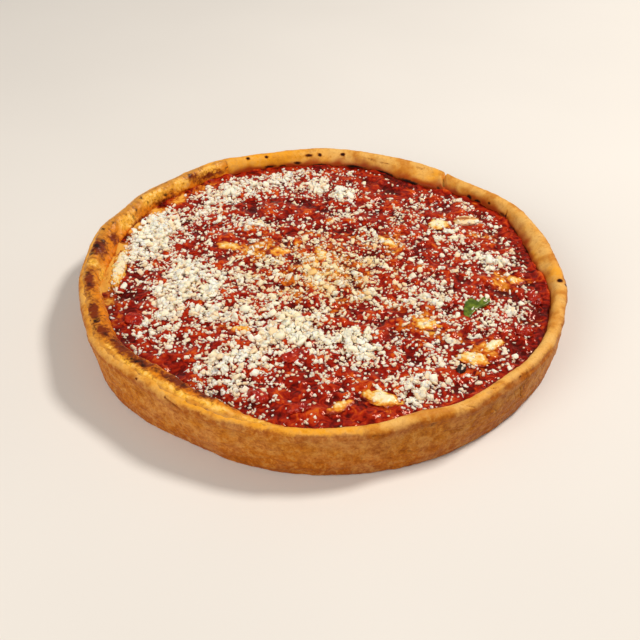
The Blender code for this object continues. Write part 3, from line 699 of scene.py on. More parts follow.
def make_filling():
    """A square grid drawn out to a disc, with a skirt down to the crust's floor."""
    bm = bmesh.new()
    bmesh.ops.create_grid(bm, x_segments=SAUCE_GRID, y_segments=SAUCE_GRID, size=1)
    raised_layer = bm.verts.layers.float.new("raised")
    cheesy_layer = bm.verts.layers.float.new("cheesy")
    for vertex in bm.verts:
        across, along = vertex.co.xy
        share_x, share_y = across * math.sqrt(1 - along**2 / 2), along * math.sqrt(1 - across**2 / 2)
        from_centre = math.hypot(share_x, share_y)
        reach = wall_radius(SAUCE_EDGE_HEIGHT, math.atan2(share_y, share_x)) + INTO_CRUST
        x, y = share_x * reach, share_y * reach
        vertex.co = (x, y, sauce_height(x, y))
        heaped = HEAP_EVENED * sum(share * depth for share, depth in heap_shares(x, y))
        # Darker along the wall and at the listed places: painted shade, with some deeper sauce
        shade_and_depth = gathered(x, y, SHADE_AND_DEPTH_PLACES)
        shade_and_depth += DARK_EDGE * (1 - smooth(0, DARK_EDGE_WIDTH, reach * (1 - from_centre)))
        rise = vertex.co.z - calm_level(from_centre * reach) - heaped
        # Higher pulp is painted lighter and hollows darker, partly as painted shade
        vertex[raised_layer] = 0.5 + rise / BRIGHTEST_RISE - shade_and_depth
        vertex[cheesy_layer] = gathered(x, y, CHEESY_PLACES)
    fillet, fillet_height = fillet_centre()
    rows_down = ((fillet + FLOOR_FILLET - WALL_GAP, fillet_height), (fillet, FLOOR_THICKNESS + WALL_GAP))
    edge = [e for e in bm.edges if e.is_boundary]
    for radius, height in rows_down:
        grown = bmesh.ops.extrude_edge_only(bm, edges=edge)["geom"]
        edge = [e for e in grown if isinstance(e, bmesh.types.BMEdge) and e.is_boundary]
        for vertex in {v for e in edge for v in e.verts}:
            azimuth = math.atan2(vertex.co.y, vertex.co.x)
            shift = lean(height, azimuth) - slump(height, azimuth)
            vertex.co = polar(radius + shift, azimuth, height)
    bmesh.ops.holes_fill(bm, edges=edge, sides=0)
    mesh = turned_out(bpy.data.meshes.new("tomato_sauce"), bm)
    return new_object("tomato_sauce", mesh, tomato_sauce())


sauce = make_filling()
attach(sauce, "root")
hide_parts("tomato_filling")

# ---------------------------------------------------------------------------------------------------------
# The cheese baked onto the rim
# Cheese that bubbled up over the filling's left edge, ran up the crust and baked on: a thick, glossy, orange
# and yellow skin that blistered brown and black along the crest.
# ---------------------------------------------------------------------------------------------------------

BAND_FROM, BAND_TO = 120, 262
BAND_THICKNESS = 1.6 * MM
BAND_ACROSS = (-11.4, -9.2, -6.6, -3.3, 0.0, 1.8)
BAND_TAPER = (0.5, 1.05, 1.1, 1.0, 0.35, -0.35)
BAND_LEDGE = ((199, 12, 4.3), (217, 12, 2.6), (236, 16, 6.0))
LEDGE_TAPER = (0.2, 0.55, 0.85, 1.0, 0.2, 0.0)
BAND_END_TAPER = 0.35
BAND_END = 18
BAND_STEP = 0.22
BAND_ROWS = 34
BAND_LUMPS = ((5.5, 0.7), (2.4, 0.5), (1.2, 0.25))
BAND_ROOT = 1.2 * MM
BAND_SWELL = 0.35

# Where the crest stayed pale, as (azimuth, half-width, amount)
PALER_CREST = ((142, 20, 2.4), (184, 4, 1.5))

# Marks on it, by their way inwards from the rim's crest in millimetres, as negative numbers
BAND_BURNS = (
    (175.0, -1.6, 4.0, 2.2, 1.6), (172.2, -3.2, 2.6, 1.8, 1.3), (178.1, -0.7, 3.0, 1.4, 1.4),
    (181.1, 0.4, 2.2, 1.0, 1.1), (183.9, -5.8, 1.3, 0.9, 1.1), (186.0, -7.4, 1.0, 0.8, 1.3),
    (186.5, -1.2, 3.0, 1.5, 1.2), (191.5, -2.7, 3.6, 1.6, 1.2), (195.6, -2.1, 3.2, 1.4, 1.1),
    (200.0, -2.2, 2.6, 1.4, 1.0), (205.8, -2.9, 2.8, 2.2, 1.6), (208.2, -1.3, 1.8, 1.3, 1.3),
    (211.4, -4.8, 2.6, 1.3, 1.3), (214.2, -6.4, 2.2, 1.2, 0.9), (217.4, -7.0, 2.4, 1.3, 0.9),
    (222.2, -4.5, 2.8, 1.7, 1.5), (224.0, -5.3, 2.4, 1.7, 1.6), (225.9, -4.8, 2.6, 1.6, 1.5),
    (229.5, -6.0, 3.6, 1.3, 1.2), (233.5, -6.4, 3.8, 1.3, 1.1), (237.3, -7.6, 3.0, 1.3, 1.3),
    (241.0, -8.6, 2.4, 1.3, 1.3), (243.2, -6.9, 2.2, 1.1, 1.0), (247.0, -7.6, 3.0, 1.0, 0.8),
    (204.3, -7.7, 1.1, 0.9, 1.5), (164.0, -2.8, 1.9, 1.1, 1.2), (167.5, -0.8, 1.9, 1.2, 1.2),
    (150.8, -1.8, 1.7, 1.1, 1.4), (149.8, -5.8, 1.4, 0.9, 1.1), (143.0, -6.5, 2.0, 1.0, 1.3),
    (155.2, -4.5, 1.5, 0.9, 1.2), (157.5, -6.2, 1.5, 0.9, 1.2), (133.2, -3.0, 2.2, 1.0, 1.3),
    (120.6, -5.8, 2.4, 0.8, 0.9),
)
BAND_BROWNS = (
    (175, -2.6, 9, 3.8, 1.2), (190, -2.8, 12, 2.8, 1.2), (202, -3.0, 10, 2.8, 1.2),
    (210, -4.6, 8, 2.8, 1.1), (218, -6.0, 9, 2.6, 1.1), (225, -6.0, 9, 3.0, 1.2), (235, -7.4, 12, 2.6, 1.2),
    (244, -8.0, 9, 2.2, 1.1), (168, -7.0, 5, 2.6, 1.0), (214, -9.8, 8, 2.6, 0.8), (132, -4.0, 8, 1.6, 0.7),
    (126, -7.6, 12, 1.8, 1.0), (144, -9.6, 12, 1.8, 0.9), (252, -6.8, 8, 1.4, 0.8),
    (157, -9.8, 9, 1.6, 0.8),
)
BAND_YELLOWS = (
    (216, -2.6, 7, 1.6, 0.9), (222, -1.4, 7, 1.6, 1.1), (229, -1.6, 9, 1.6, 1.2), (238, -2.6, 11, 1.8, 1.2),
    (247, -2.8, 11, 1.8, 1.1), (256, -2.2, 9, 1.7, 1.0), (184, -9.0, 8, 2.4, 1.0),
    (192, -9.0, 10, 2.2, 0.7), (160, -6.0, 9, 3.0, 1.4), (147, -5.0, 11, 3.0, 1.5),
    (137, -5.4, 9, 3.0, 1.4), (182.0, -2.6, 3.4, 2.2, 1.3), (126, -4.0, 9, 2.4, 1.2),
)


def between(places, values, place):
    """The value at a place on a line through given points."""
    for i in range(len(places) - 1):
        if place <= places[i + 1] or i == len(places) - 2:
            share = (place - places[i]) / (places[i + 1] - places[i])
            return values[i] + (values[i + 1] - values[i]) * share
    return values[-1]


def even_rim_point(across):
    """A point of the even shell by its way across the rim, with its direction out of the dough."""
    centre, roll = Vector(roll_centre()), ROLL_RADIUS
    quarter = math.pi * roll / 2 / MM
    if across > -quarter:
        turn = math.radians(90) - across * MM / roll
        way_out = Vector((math.cos(turn), math.sin(turn)))
        return centre + way_out * roll, way_out
    height = centre.y + (across + quarter) * MM
    return Vector((even_wall_radius(height), height)), Vector((-1, 0.05))


def baked_on_cheese():
    """Cheese fried in its own oil: glossy and orange, yellow where thick, blistered brown and black."""
    made, tree, shader, place = food_material("baked_on_cheese", {
        "Roughness": 0.32, "Specular IOR Level": 0.2})
    across, yellow, brown, burnt = [
        add(tree, "ShaderNodeAttribute", attribute_name=name).outputs["Fac"]
        for name in ("across", "yellow", "brown", "burnt")]
    patches = add(tree, "ShaderNodeTexNoise", {"Vector": place, "Scale": 1 / (8 * MM), "Detail": 3.0})
    blisters = add(tree, "ShaderNodeTexNoise", {
        "Vector": place, "Scale": 1 / (2.8 * MM), "Detail": 5.0, "Roughness": 0.6, "Distortion": 0.5})

    # From brown at the sauce through orange to straw over the crest
    swayed = add(tree, "ShaderNodeMath", {0: patches, 1: 6.0, 2: across}, operation="MULTIPLY_ADD")
    mottled = add(tree, "ShaderNodeMath", {0: blisters, 1: 5.0, 2: swayed}, operation="MULTIPLY_ADD")
    zone = add(tree, "ShaderNodeMapRange", {0: mottled, 1: -9.5, 2: 8.0})
    colour = add(tree, "ShaderNodeValToRGB", {0: zone}, stops=(
        (0.0, "#8A2A05"), (0.16, "#C0500A"), (0.34, "#E27C0C"), (0.54, "#E48816"), (0.72, "#D88A26"),
        (0.86, "#D08E38"), (1.0, "#CC924C")))

    # Rich yellow and cream bubbles where it is thick, then fried brown and burnt black, each over the last
    bright = add(tree, "ShaderNodeMath", {0: patches, 1: 1.4, 2: yellow}, operation="MULTIPLY_ADD")
    rich = add(tree, "ShaderNodeMapRange", {0: bright, 1: 0.9, 2: 1.6, 3: 0.0, 4: 0.95})
    bubble = add(tree, "ShaderNodeMapRange", {0: blisters, 1: 0.5, 2: 0.36, 3: 0.0, 4: 0.6})
    creamy = add(tree, "ShaderNodeMath", {0: bubble, 1: rich}, operation="MULTIPLY")
    fried = add(tree, "ShaderNodeMath", {0: blisters, 1: 2.8, 2: brown}, operation="MULTIPLY_ADD")
    browned = add(tree, "ShaderNodeMapRange", {0: fried, 1: 1.42, 2: 2.2})
    caught = add(tree, "ShaderNodeMath", {0: blisters, 1: 2.6, 2: burnt}, operation="MULTIPLY_ADD")
    char = add(tree, "ShaderNodeMapRange", {0: caught, 1: 1.75, 2: 2.8, 4: 0.95})
    for share, upper in ((rich, "#FBB93C"), (creamy, "#FFDA8C"), (browned, "#7A2E08"), (char, "#1C0B06")):
        colour = add(tree, "ShaderNodeMix", {
            "Factor": share, "A": colour, "B": linear(upper)}, data_type="RGBA")
    bump = add(tree, "ShaderNodeBump", {"Height": blisters, "Strength": 0.7, "Distance": 0.8 * MM})
    feed(tree, shader, {"Base Color": colour, "Normal": bump})
    return made


def make_band():
    """A ragged skin over the rim. Where its thickness runs out it dips into the crust."""
    columns = round((BAND_TO - BAND_FROM) / BAND_STEP)
    low, high = BAND_ACROSS[0], BAND_ACROSS[-1]
    tables = {"burnt": BAND_BURNS, "brown": BAND_BROWNS, "yellow": BAND_YELLOWS}
    points, fields = [], {name: [] for name in ("across", *tables)}
    for i in range(columns + 1):
        turned = BAND_FROM + (BAND_TO - BAND_FROM) * i / columns
        azimuth = math.radians(turned if turned < 180 else turned - 360)
        from_end = smooth(0, BAND_END, min(turned - BAND_FROM, BAND_TO - turned))
        swell = BAND_THICKNESS * (BAND_END_TAPER + (1 - BAND_END_TAPER) * from_end)
        swell *= 1 + BAND_SWELL * noise.noise(polar(7, azimuth, 3))
        ledge = bumps(azimuth, BAND_LEDGE)
        for j in range(BAND_ROWS + 1):
            across = low + (high - low) * j / BAND_ROWS
            even, way_out = even_rim_point(across)
            radius, height = uneven_point(even.x, even.y, azimuth)
            place = polar(radius, azimuth, height)
            taper = between(BAND_ACROSS, BAND_TAPER, across)
            lumps = grain(place + Vector((0, 0, 1)), BAND_LUMPS)
            edge = min(smooth(-0.3, 0.9, from_end * 3), 1 - smooth(0.6, 1.0, j / BAND_ROWS))
            thickness = swell * taper + lumps * (0.6 + 0.4 * edge) - (1 - from_end) * 0.5 * MM
            inwards = ledge * between(BAND_ACROSS, LEDGE_TAPER, across)
            radius += way_out.x * thickness - inwards
            points.append(polar(radius, azimuth, height + way_out.y * thickness))
            way_in = across - inwards / MM
            fields["across"].append(way_in + bumps(azimuth, PALER_CREST) / MM)
            for name, table in tables.items():
                fields[name].append(marks(azimuth, way_in, table))
        for across in (high, low):
            even, way_out = even_rim_point(across)
            radius, height = uneven_point(even.x, even.y, azimuth)
            points.append(polar(radius - way_out.x * BAND_ROOT, azimuth, height - way_out.y * BAND_ROOT))
            fields["across"].append(across)
            for name in tables:
                fields[name].append(0.0)
    around = BAND_ROWS + 3
    faces = list(ring_faces(columns + 1, around))
    faces.append(tuple(range(around)))
    faces.append(tuple(reversed(range(columns * around, (columns + 1) * around))))
    mesh = mesh_with_fields("baked_on_cheese", points, faces, fields)
    return new_object("baked_on_cheese", mesh, baked_on_cheese())


band = make_band()
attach(band, "root")
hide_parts("baked_cheese_band")

# ---------------------------------------------------------------------------------------------------------
# The melted cheese
# Sliced cheese from under the sauce that melted, rose through it in soft patches and set again: creamy where
# it is thick, and yellow to orange with tomato oil where it thins into the sauce.
# ---------------------------------------------------------------------------------------------------------

TOPPING_LIFT = 0.3 * MM
CREAM_DEPTH = 1.8 * MM

# Unevenness of a lump's outline, as (fineness, amount, how its seed shifts it)
RAGGED_OUTLINE = ((1.4, 0.22, (7.3, 0, 0)), (3.2, 0.16, (0, 3.1, 0)), (7.5, 0.09, (0, 0, 5.7)))

# How creamy each patch is, from amber to pale, in the order of the patches
CREAMINESS = (0.0, -0.2, 0.0, 0.05, 0.0, -0.25, 0.2, 0.35, -0.05, -0.05, 0.4, 0.45, 0.5)


def ragged_lump(name, bed, half_height, seed, profile, lumps, sink=0.0, paler=0.0):
    """A flat lump with a ragged outline, half sunk in the sauce, with its own relief."""
    bm = bmesh.new()
    bmesh.ops.create_icosphere(bm, subdivisions=5, radius=1)
    thick_layer = bm.verts.layers.float.new("thick")
    turn = Matrix.Rotation(math.radians(bed[4]), 3, "Z")
    level = calm_level(math.hypot(bed[0], bed[1]) * MM)
    middle = Vector((bed[0] * MM, bed[1] * MM, level + TOPPING_LIFT))
    for vertex in bm.verts:
        out = vertex.co.copy()
        ragged = 1
        for fineness, amount, shift in RAGGED_OUTLINE:
            ragged += amount * noise.noise(out * fineness + Vector([seed * part for part in shift]))
        x, y = out.x * bed[2] * MM * ragged, out.y * bed[3] * MM * ragged
        rise = math.copysign(abs(out.z) ** profile, out.z) * half_height
        place = middle + turn @ Vector((x, y, rise - sink))
        place.z += smooth(-0.3, 0.1, out.z) * grain(place + Vector((0, 0, seed)), lumps)
        vertex[thick_layer] = (place.z - level) / CREAM_DEPTH + paler
        vertex.co = place
    return turned_out(bpy.data.meshes.new(name), bm)


def melted_cheese():
    """Melted cheese: soft and wet, cream where thick, amber to orange-red where the sauce shows through."""
    made, tree, shader, place = food_material("melted_cheese_soft", {
        "Roughness": 0.25, "Specular IOR Level": 0.35, "Subsurface Weight": 0.4,
        "Subsurface Radius": (1.0, 0.6, 0.25), "Subsurface Scale": 2.5 * MM})
    thick = add(tree, "ShaderNodeAttribute", attribute_name="thick").outputs["Fac"]
    patches = add(tree, "ShaderNodeTexNoise", {"Vector": place, "Scale": 1 / (5 * MM), "Detail": 3.0})
    streaks = add(tree, "ShaderNodeTexNoise", {
        "Vector": place, "Scale": 1 / (2 * MM), "Detail": 3.0, "Distortion": 0.5})
    swayed = add(tree, "ShaderNodeMath", {0: patches, 1: thick}, operation="ADD")
    mottled = add(tree, "ShaderNodeMath", {0: streaks, 1: 0.6, 2: swayed}, operation="MULTIPLY_ADD")
    evened = add(tree, "ShaderNodeMath", {0: mottled, 1: 0.95}, operation="SUBTRACT")
    colour = add(tree, "ShaderNodeValToRGB", {0: evened}, stops=(
        (0.0, "#8E2408"), (0.18, "#C25312"), (0.38, "#E08A1E"), (0.6, "#F0AC40"), (0.82, "#F6D488"),
        (1.0, "#FAE8BE")))
    bump = add(tree, "ShaderNodeBump", {"Height": streaks, "Strength": 0.4, "Distance": 0.6 * MM})
    feed(tree, shader, {"Base Color": colour, "Normal": bump})
    return made


melted = melted_cheese()
toppings = []
for i, bed in enumerate((*MELTED_CHEESE, MELTED_BY_RIM), start=1):
    node = f"melted_cheese_{i}" if i <= len(MELTED_CHEESE) else "melted_cheese_by_rim"
    mesh = ragged_lump(
        "soft_" + node, bed, 1.9 * MM, i, 1.35, ((3.6, 0.9), (1.6, 0.45)), 0.45 * MM, CREAMINESS[i - 1])
    patch = new_object("soft_" + node, mesh, melted)
    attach(patch, "root")
    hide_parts(node)
    toppings.append(patch)

# ---------------------------------------------------------------------------------------------------------
# The tomato chunks
# Pieces of skinned, cooked tomato flesh that stand out of the sauce. They are soft, wet and red, with ridges
# along their fibres that catch the light.
# ---------------------------------------------------------------------------------------------------------


def tomato_flesh():
    """Cooked tomato: wet and glossy, deep red in its folds and brighter along its ridges."""
    made, tree, shader, place = food_material("cooked_tomato_flesh", {
        "Roughness": 0.14, "Specular IOR Level": 0.4})
    fibres = add(tree, "ShaderNodeTexNoise", {
        "Vector": place, "Scale": 1 / (3.5 * MM), "Detail": 3.0, "Distortion": 0.6})
    red = add(tree, "ShaderNodeValToRGB", {0: fibres}, stops=(
        (0.3, "#7A0C05"), (0.5, "#A61A08"), (0.7, "#C63C10")))
    bump = add(tree, "ShaderNodeBump", {"Height": fibres, "Strength": 0.6, "Distance": 0.8 * MM})
    feed(tree, shader, {"Base Color": red, "Normal": bump})
    return made


flesh = tomato_flesh()
for i, bed in enumerate(TOMATO_CHUNKS, start=1):
    mesh = ragged_lump(f"wet_tomato_{i}", bed, 2.6 * MM, 13 + i, 1.0, ((3.4, 1.5), (1.6, 0.6)), 0.2 * MM)
    chunk = new_object(f"wet_tomato_{i}", mesh, flesh)
    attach(chunk, "root")
    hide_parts(f"tomato_chunk_{i}")
    toppings.append(chunk)

# ---------------------------------------------------------------------------------------------------------
# The browned slice and the olive
# A flat slice of onion or mushroom, pale at its edges and fried brown along its middle, and one small bit of
# black olive. Both were dropped on the sauce and baked there.
# ---------------------------------------------------------------------------------------------------------


def browned_slice():
    """A fried vegetable slice: soft and waxy, straw-coloured at its edges with a toasted brown stripe."""
    made, tree, shader, place = food_material("fried_vegetable_slice", {"Roughness": 0.4})
    turn = -math.radians(BROWNED_SLICE[4])
    middle = MM * (BROWNED_SLICE[0] * math.sin(turn) + BROWNED_SLICE[1] * math.cos(turn))
    turned = add(tree, "ShaderNodeMapping", {
        "Vector": place, "Location": (0, -middle, 0), "Rotation": (0, 0, turn)})
    aside = add(tree, "ShaderNodeSeparateXYZ", {0: turned}).outputs["Y"]
    wave = add(tree, "ShaderNodeTexNoise", {"Vector": place, "Scale": 1 / (3 * MM), "Detail": 3.0})
    swayed = add(tree, "ShaderNodeMath", {0: wave, 1: 5 * MM, 2: aside}, operation="MULTIPLY_ADD")
    share = add(tree, "ShaderNodeMapRange", {0: swayed, 1: 0.46 * MM, 2: 7.46 * MM})
    colour = add(tree, "ShaderNodeValToRGB", {0: share}, stops=(
        (0.0, "#F0D6A6"), (0.2, "#E2A85C"), (0.36, "#B5682A"), (0.56, "#984E1C"), (0.7, "#D8984E"),
        (0.95, "#F0D8A8")))
    bump = add(tree, "ShaderNodeBump", {"Height": wave, "Strength": 0.4, "Distance": 0.5 * MM})
    feed(tree, shader, {"Base Color": colour, "Normal": bump})
    return made


def black_olive():
    """Baked black olive: a dark, waxy skin with a dull shine."""
    made, tree, shader, place = food_material("black_olive_skin", {"Roughness": 0.28})
    mottle = add(tree, "ShaderNodeTexNoise", {"Vector": place, "Scale": 1 / (1.5 * MM), "Detail": 2.0})
    dark = add(tree, "ShaderNodeValToRGB", {0: mottle}, stops=((0.3, "#120A08"), (0.7, "#2E1A14")))
    feed(tree, shader, {"Base Color": dark})
    return made


mesh = ragged_lump("fried_slice", BROWNED_SLICE, 2.6 * MM, 20, 0.35, ((3, 0.5), (1.4, 0.2)), 0.6 * MM)
slice_piece = new_object("fried_slice", mesh, browned_slice())
mesh = ragged_lump("olive_piece", OLIVE_BIT, 2.2 * MM, 21, 0.8, ((1.5, 0.3),))
olive = new_object("olive_piece", mesh, black_olive())
for piece, node, finish in (
        (slice_piece, "browned_slice", "browned_slice"), (olive, "olive_bit", "black_olive")):
    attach(piece, "root")
    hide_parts(node)
    toppings.append(piece)

# ---------------------------------------------------------------------------------------------------------
# The green pepper
# One bent wedge of raw green pepper, cut with a knife and softened by the oven. Its skin side is up, smooth
# and glossy, with the paler flesh showing at its cut edge.
# ---------------------------------------------------------------------------------------------------------

PEPPER_OUTLINE = (
    (-7.4, 1.4), (-3.4, 7.6), (1.6, 5.2), (5.2, 8.4), (8.4, 6.4), (6.6, 2.6), (0.4, -1.2), (-3.2, -5.4),
    (-6.2, -9.0),
)
PEPPER_THICKNESS = 2.0 * MM
PEPPER_BEVEL = 0.4 * MM
PEPPER_LIFT = 0.7 * MM
PEPPER_TILT = (5, -4, 0)


def green_pepper():
    """Green pepper skin: waxy and bright, mottled from deep to yellow green."""
    made, tree, shader, place = food_material("green_pepper_skin", {"Roughness": 0.25})
    mottle = add(tree, "ShaderNodeTexNoise", {"Vector": place, "Scale": 1 / (4 * MM), "Detail": 3.0})
    green = add(tree, "ShaderNodeValToRGB", {0: mottle}, stops=(
        (0.3, "#36450A"), (0.5, "#4E6312"), (0.7, "#7A8A26")))
    bump = add(tree, "ShaderNodeBump", {"Height": mottle, "Strength": 0.2, "Distance": 0.5 * MM})
    feed(tree, shader, {"Base Color": green, "Normal": bump})
    return made


def make_pepper():
    outline = bpy.data.curves.new("pepper_outline", "CURVE")
    outline.dimensions = "2D"
    outline.fill_mode = "BOTH"
    outline.extrude = PEPPER_THICKNESS / 2 - PEPPER_BEVEL
    outline.bevel_depth = PEPPER_BEVEL
    outline.bevel_resolution = 3
    outline.offset = -PEPPER_BEVEL
    outline.resolution_u = 8
    spline = outline.splines.new("BEZIER")
    spline.bezier_points.add(len(PEPPER_OUTLINE) - 1)
    for point, (x, y) in zip(spline.bezier_points, PEPPER_OUTLINE):
        point.co = (x * MM, y * MM, 0)
        point.handle_left_type = point.handle_right_type = "AUTO"
    spline.use_cyclic_u = True
    curve = bpy.data.objects.new("pepper_outline", outline)
    bpy.context.scene.collection.objects.link(curve)
    level = calm_level(math.hypot(PEPPER_BED[0], PEPPER_BED[1]) * MM)
    curve.location = (PEPPER_BED[0] * MM, PEPPER_BED[1] * MM, level + PEPPER_LIFT)
    curve.rotation_euler = [math.radians(turn) for turn in PEPPER_TILT]
    bpy.context.view_layer.update()
    bm = bmesh.new()
    bm.from_mesh(curve.evaluated_get(bpy.context.evaluated_depsgraph_get()).to_mesh())
    bmesh.ops.transform(bm, matrix=curve.matrix_world, verts=bm.verts)
    bmesh.ops.remove_doubles(bm, verts=bm.verts, dist=0.01 * MM)
    mesh = turned_out(bpy.data.meshes.new("pepper_wedge"), bm)
    bpy.data.objects.remove(curve)
    return new_object("pepper_wedge", mesh, green_pepper())


pepper = make_pepper()
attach(pepper, "root")
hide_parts("green_pepper")
toppings.append(pepper)

# ---------------------------------------------------------------------------------------------------------
# The grated cheese
# Hard dry cheese, grated to crumbs of 1 to 5 mm and thrown on by hand after baking, so that it lies in heaps
# and clumps with bare sauce between them. It stays white, and has softened and yellowed in the warm middle.
# ---------------------------------------------------------------------------------------------------------

# Where more was thrown, as (x, y, radius, share), and where the sauce stayed bare, as (x, y, radius, share)
MORE_CHEESE = (
    (-121, 27, 12, 0.6), (-115, 50, 12, 0.6), (-64, -50, 10, 0.5), (-91, -65, 8, 0.5), (-36, -77, 12, 0.6),
    (-31, -59, 10, 0.5), (-8, -76, 9, 0.5), (9, -67, 9, 0.5), (26, -80, 9, 0.4), (60, -75, 10, 0.3),
    (55, -100, 8, 0.5), (77, -47, 9, 0.4), (95, 83, 8, 0.5), (-53, 0, 12, 0.5), (-86, 65, 10, 0.4),
    (-85, 91, 9, 0.4), (-58, 103, 9, 0.3), (-33, 114, 9, 0.3), (14, 94, 9, 0.5), (-51, -12, 10, 0.4),
    (31, 10, 8, 0.9), (-31, 10, 9, 0.5), (-62, 52, 11, 0.4), (-45, 52, 9, 0.5), (31, -31, 9, 0.5),
    (10, -10, 12, 0.4), (-93, -31, 11, 0.5), (-72, -31, 12, 0.4), (10, 73, 8, 0.4), (-52, -114, 7, 0.3),
    (-52, -94, 8, 0.4), (33, 33, 8, 0.4), (-72, 90, 8, 0.5), (114, 10, 8, 0.3),
)
BARE_SAUCE = (
    (-120, -25, 9, 0.7), (-114, -50, 11, 0.8), (-85, -92, 12, 0.8), (-10, -122, 22, 0.7),
    (25, -128, 20, 0.7), (125, -40, 12, 0.8), (112, -72, 12, 0.7), (122, 45, 9, 0.6), (52, 108, 14, 0.9),
    (31, 116, 12, 0.7), (-30, 80, 12, 0.5), (-10, 76, 11, 0.9), (-52, 73, 9, 0.8), (-65, 30, 9, 0.5),
    (-105, -5, 6, 0.5), (12, -33, 9, 0.3), (132, 0, 10, 0.8), (87, -72, 11, 0.8), (85, -108, 12, 0.5),
    (93, 72, 12, 0.6), (94, 50, 10, 0.4), (112, 31, 10, 0.6), (93, 8, 9, 0.4), (112, -12, 11, 0.8),
    (92, -12, 9, 0.6), (-93, 31, 9, 0.7), (-93, 12, 8, 0.4), (72, 72, 9, 0.4), (33, 92, 9, 0.5),
    (53, 92, 8, 0.4), (31, -53, 8, 0.3), (52, 50, 9, 0.6), (72, 28, 9, 0.3), (-72, 52, 9, 0.5),
    (93, 31, 9, 0.4), (72, 10, 9, 0.6), (-11, -32, 9, 0.4), (-31, -52, 9, 0.5), (10, -52, 8, 0.6),
    (-60, -72, 13, 0.4), (-52, 116, 9, 0.4), (-18, 114, 12, 0.5), (-74, 95, 10, 0.4), (-82, -14, 14, 0.25),
    (-93, -52, 9, 0.3),
)
EVEN_SHARE = 0.5
HEAP_SHARE = 0.75
SHARE_ON_TOPPING = 0.5
THINS_FROM, THINS_TO = 9 * MM, 1.5 * MM
BED_REACH = 1.4
WARM_WIDTH = 50 * MM
STRAND_SHARPNESS = 22.0
CRUMB_TILT = 0.7


def landing_surface():
    """The sauce's top with the toppings on it, as one surface that crumbs fall on."""
    bm = bmesh.new()
    bm.from_mesh(sauce.data)
    below = [v for v in bm.verts if v.co.z < SAUCE_EDGE_HEIGHT - 3 * MM]
    bmesh.ops.delete(bm, geom=below, context="VERTS")
    catchers = []
    for bed, topping in zip(TOPPING_BEDS, toppings):
        corners = [v.co for v in topping.data.vertices]
        sides = [tuple(p.vertices) for p in topping.data.polygons]
        catchers.append((bed, BVHTree.FromPolygons(corners, sides)))
    share_layer = bm.verts.layers.float.new("cheese_share")
    creamy_layer = bm.verts.layers.float.new("creamy")
    down = Vector((0, 0, -1))
    for vertex in bm.verts:
        x, y = vertex.co.xy
        from_middle = math.hypot(x, y)
        edge = wall_radius(SAUCE_EDGE_HEIGHT, math.atan2(y, x))
        share = EVEN_SHARE + sum(s * depth / MM * HEAP_SHARE for s, depth in heap_shares(x, y))
        share += gathered(x, y, MORE_CHEESE)
        share *= max(0.0, 1 - gathered(x, y, BARE_SAUCE))
        share *= smooth(THINS_TO, THINS_FROM, edge - from_middle)
        for bed, catcher in catchers:
            if reach_in(bed, x, y) < BED_REACH:
                hit = catcher.ray_cast(Vector((x, y, 2 * RIM_HEIGHT)), down)[0]
                if hit and hit.z > vertex.co.z:
                    vertex.co.z = hit.z
                    share *= SHARE_ON_TOPPING
        vertex[share_layer] = share
        vertex[creamy_layer] = math.exp(-((from_middle / WARM_WIDTH) ** 2))
    mesh = bpy.data.meshes.new("landing")
    bm.to_mesh(mesh)
    bm.free()
    made = bpy.data.objects.new("landing", mesh)
    bpy.context.scene.collection.objects.link(made)
    return made


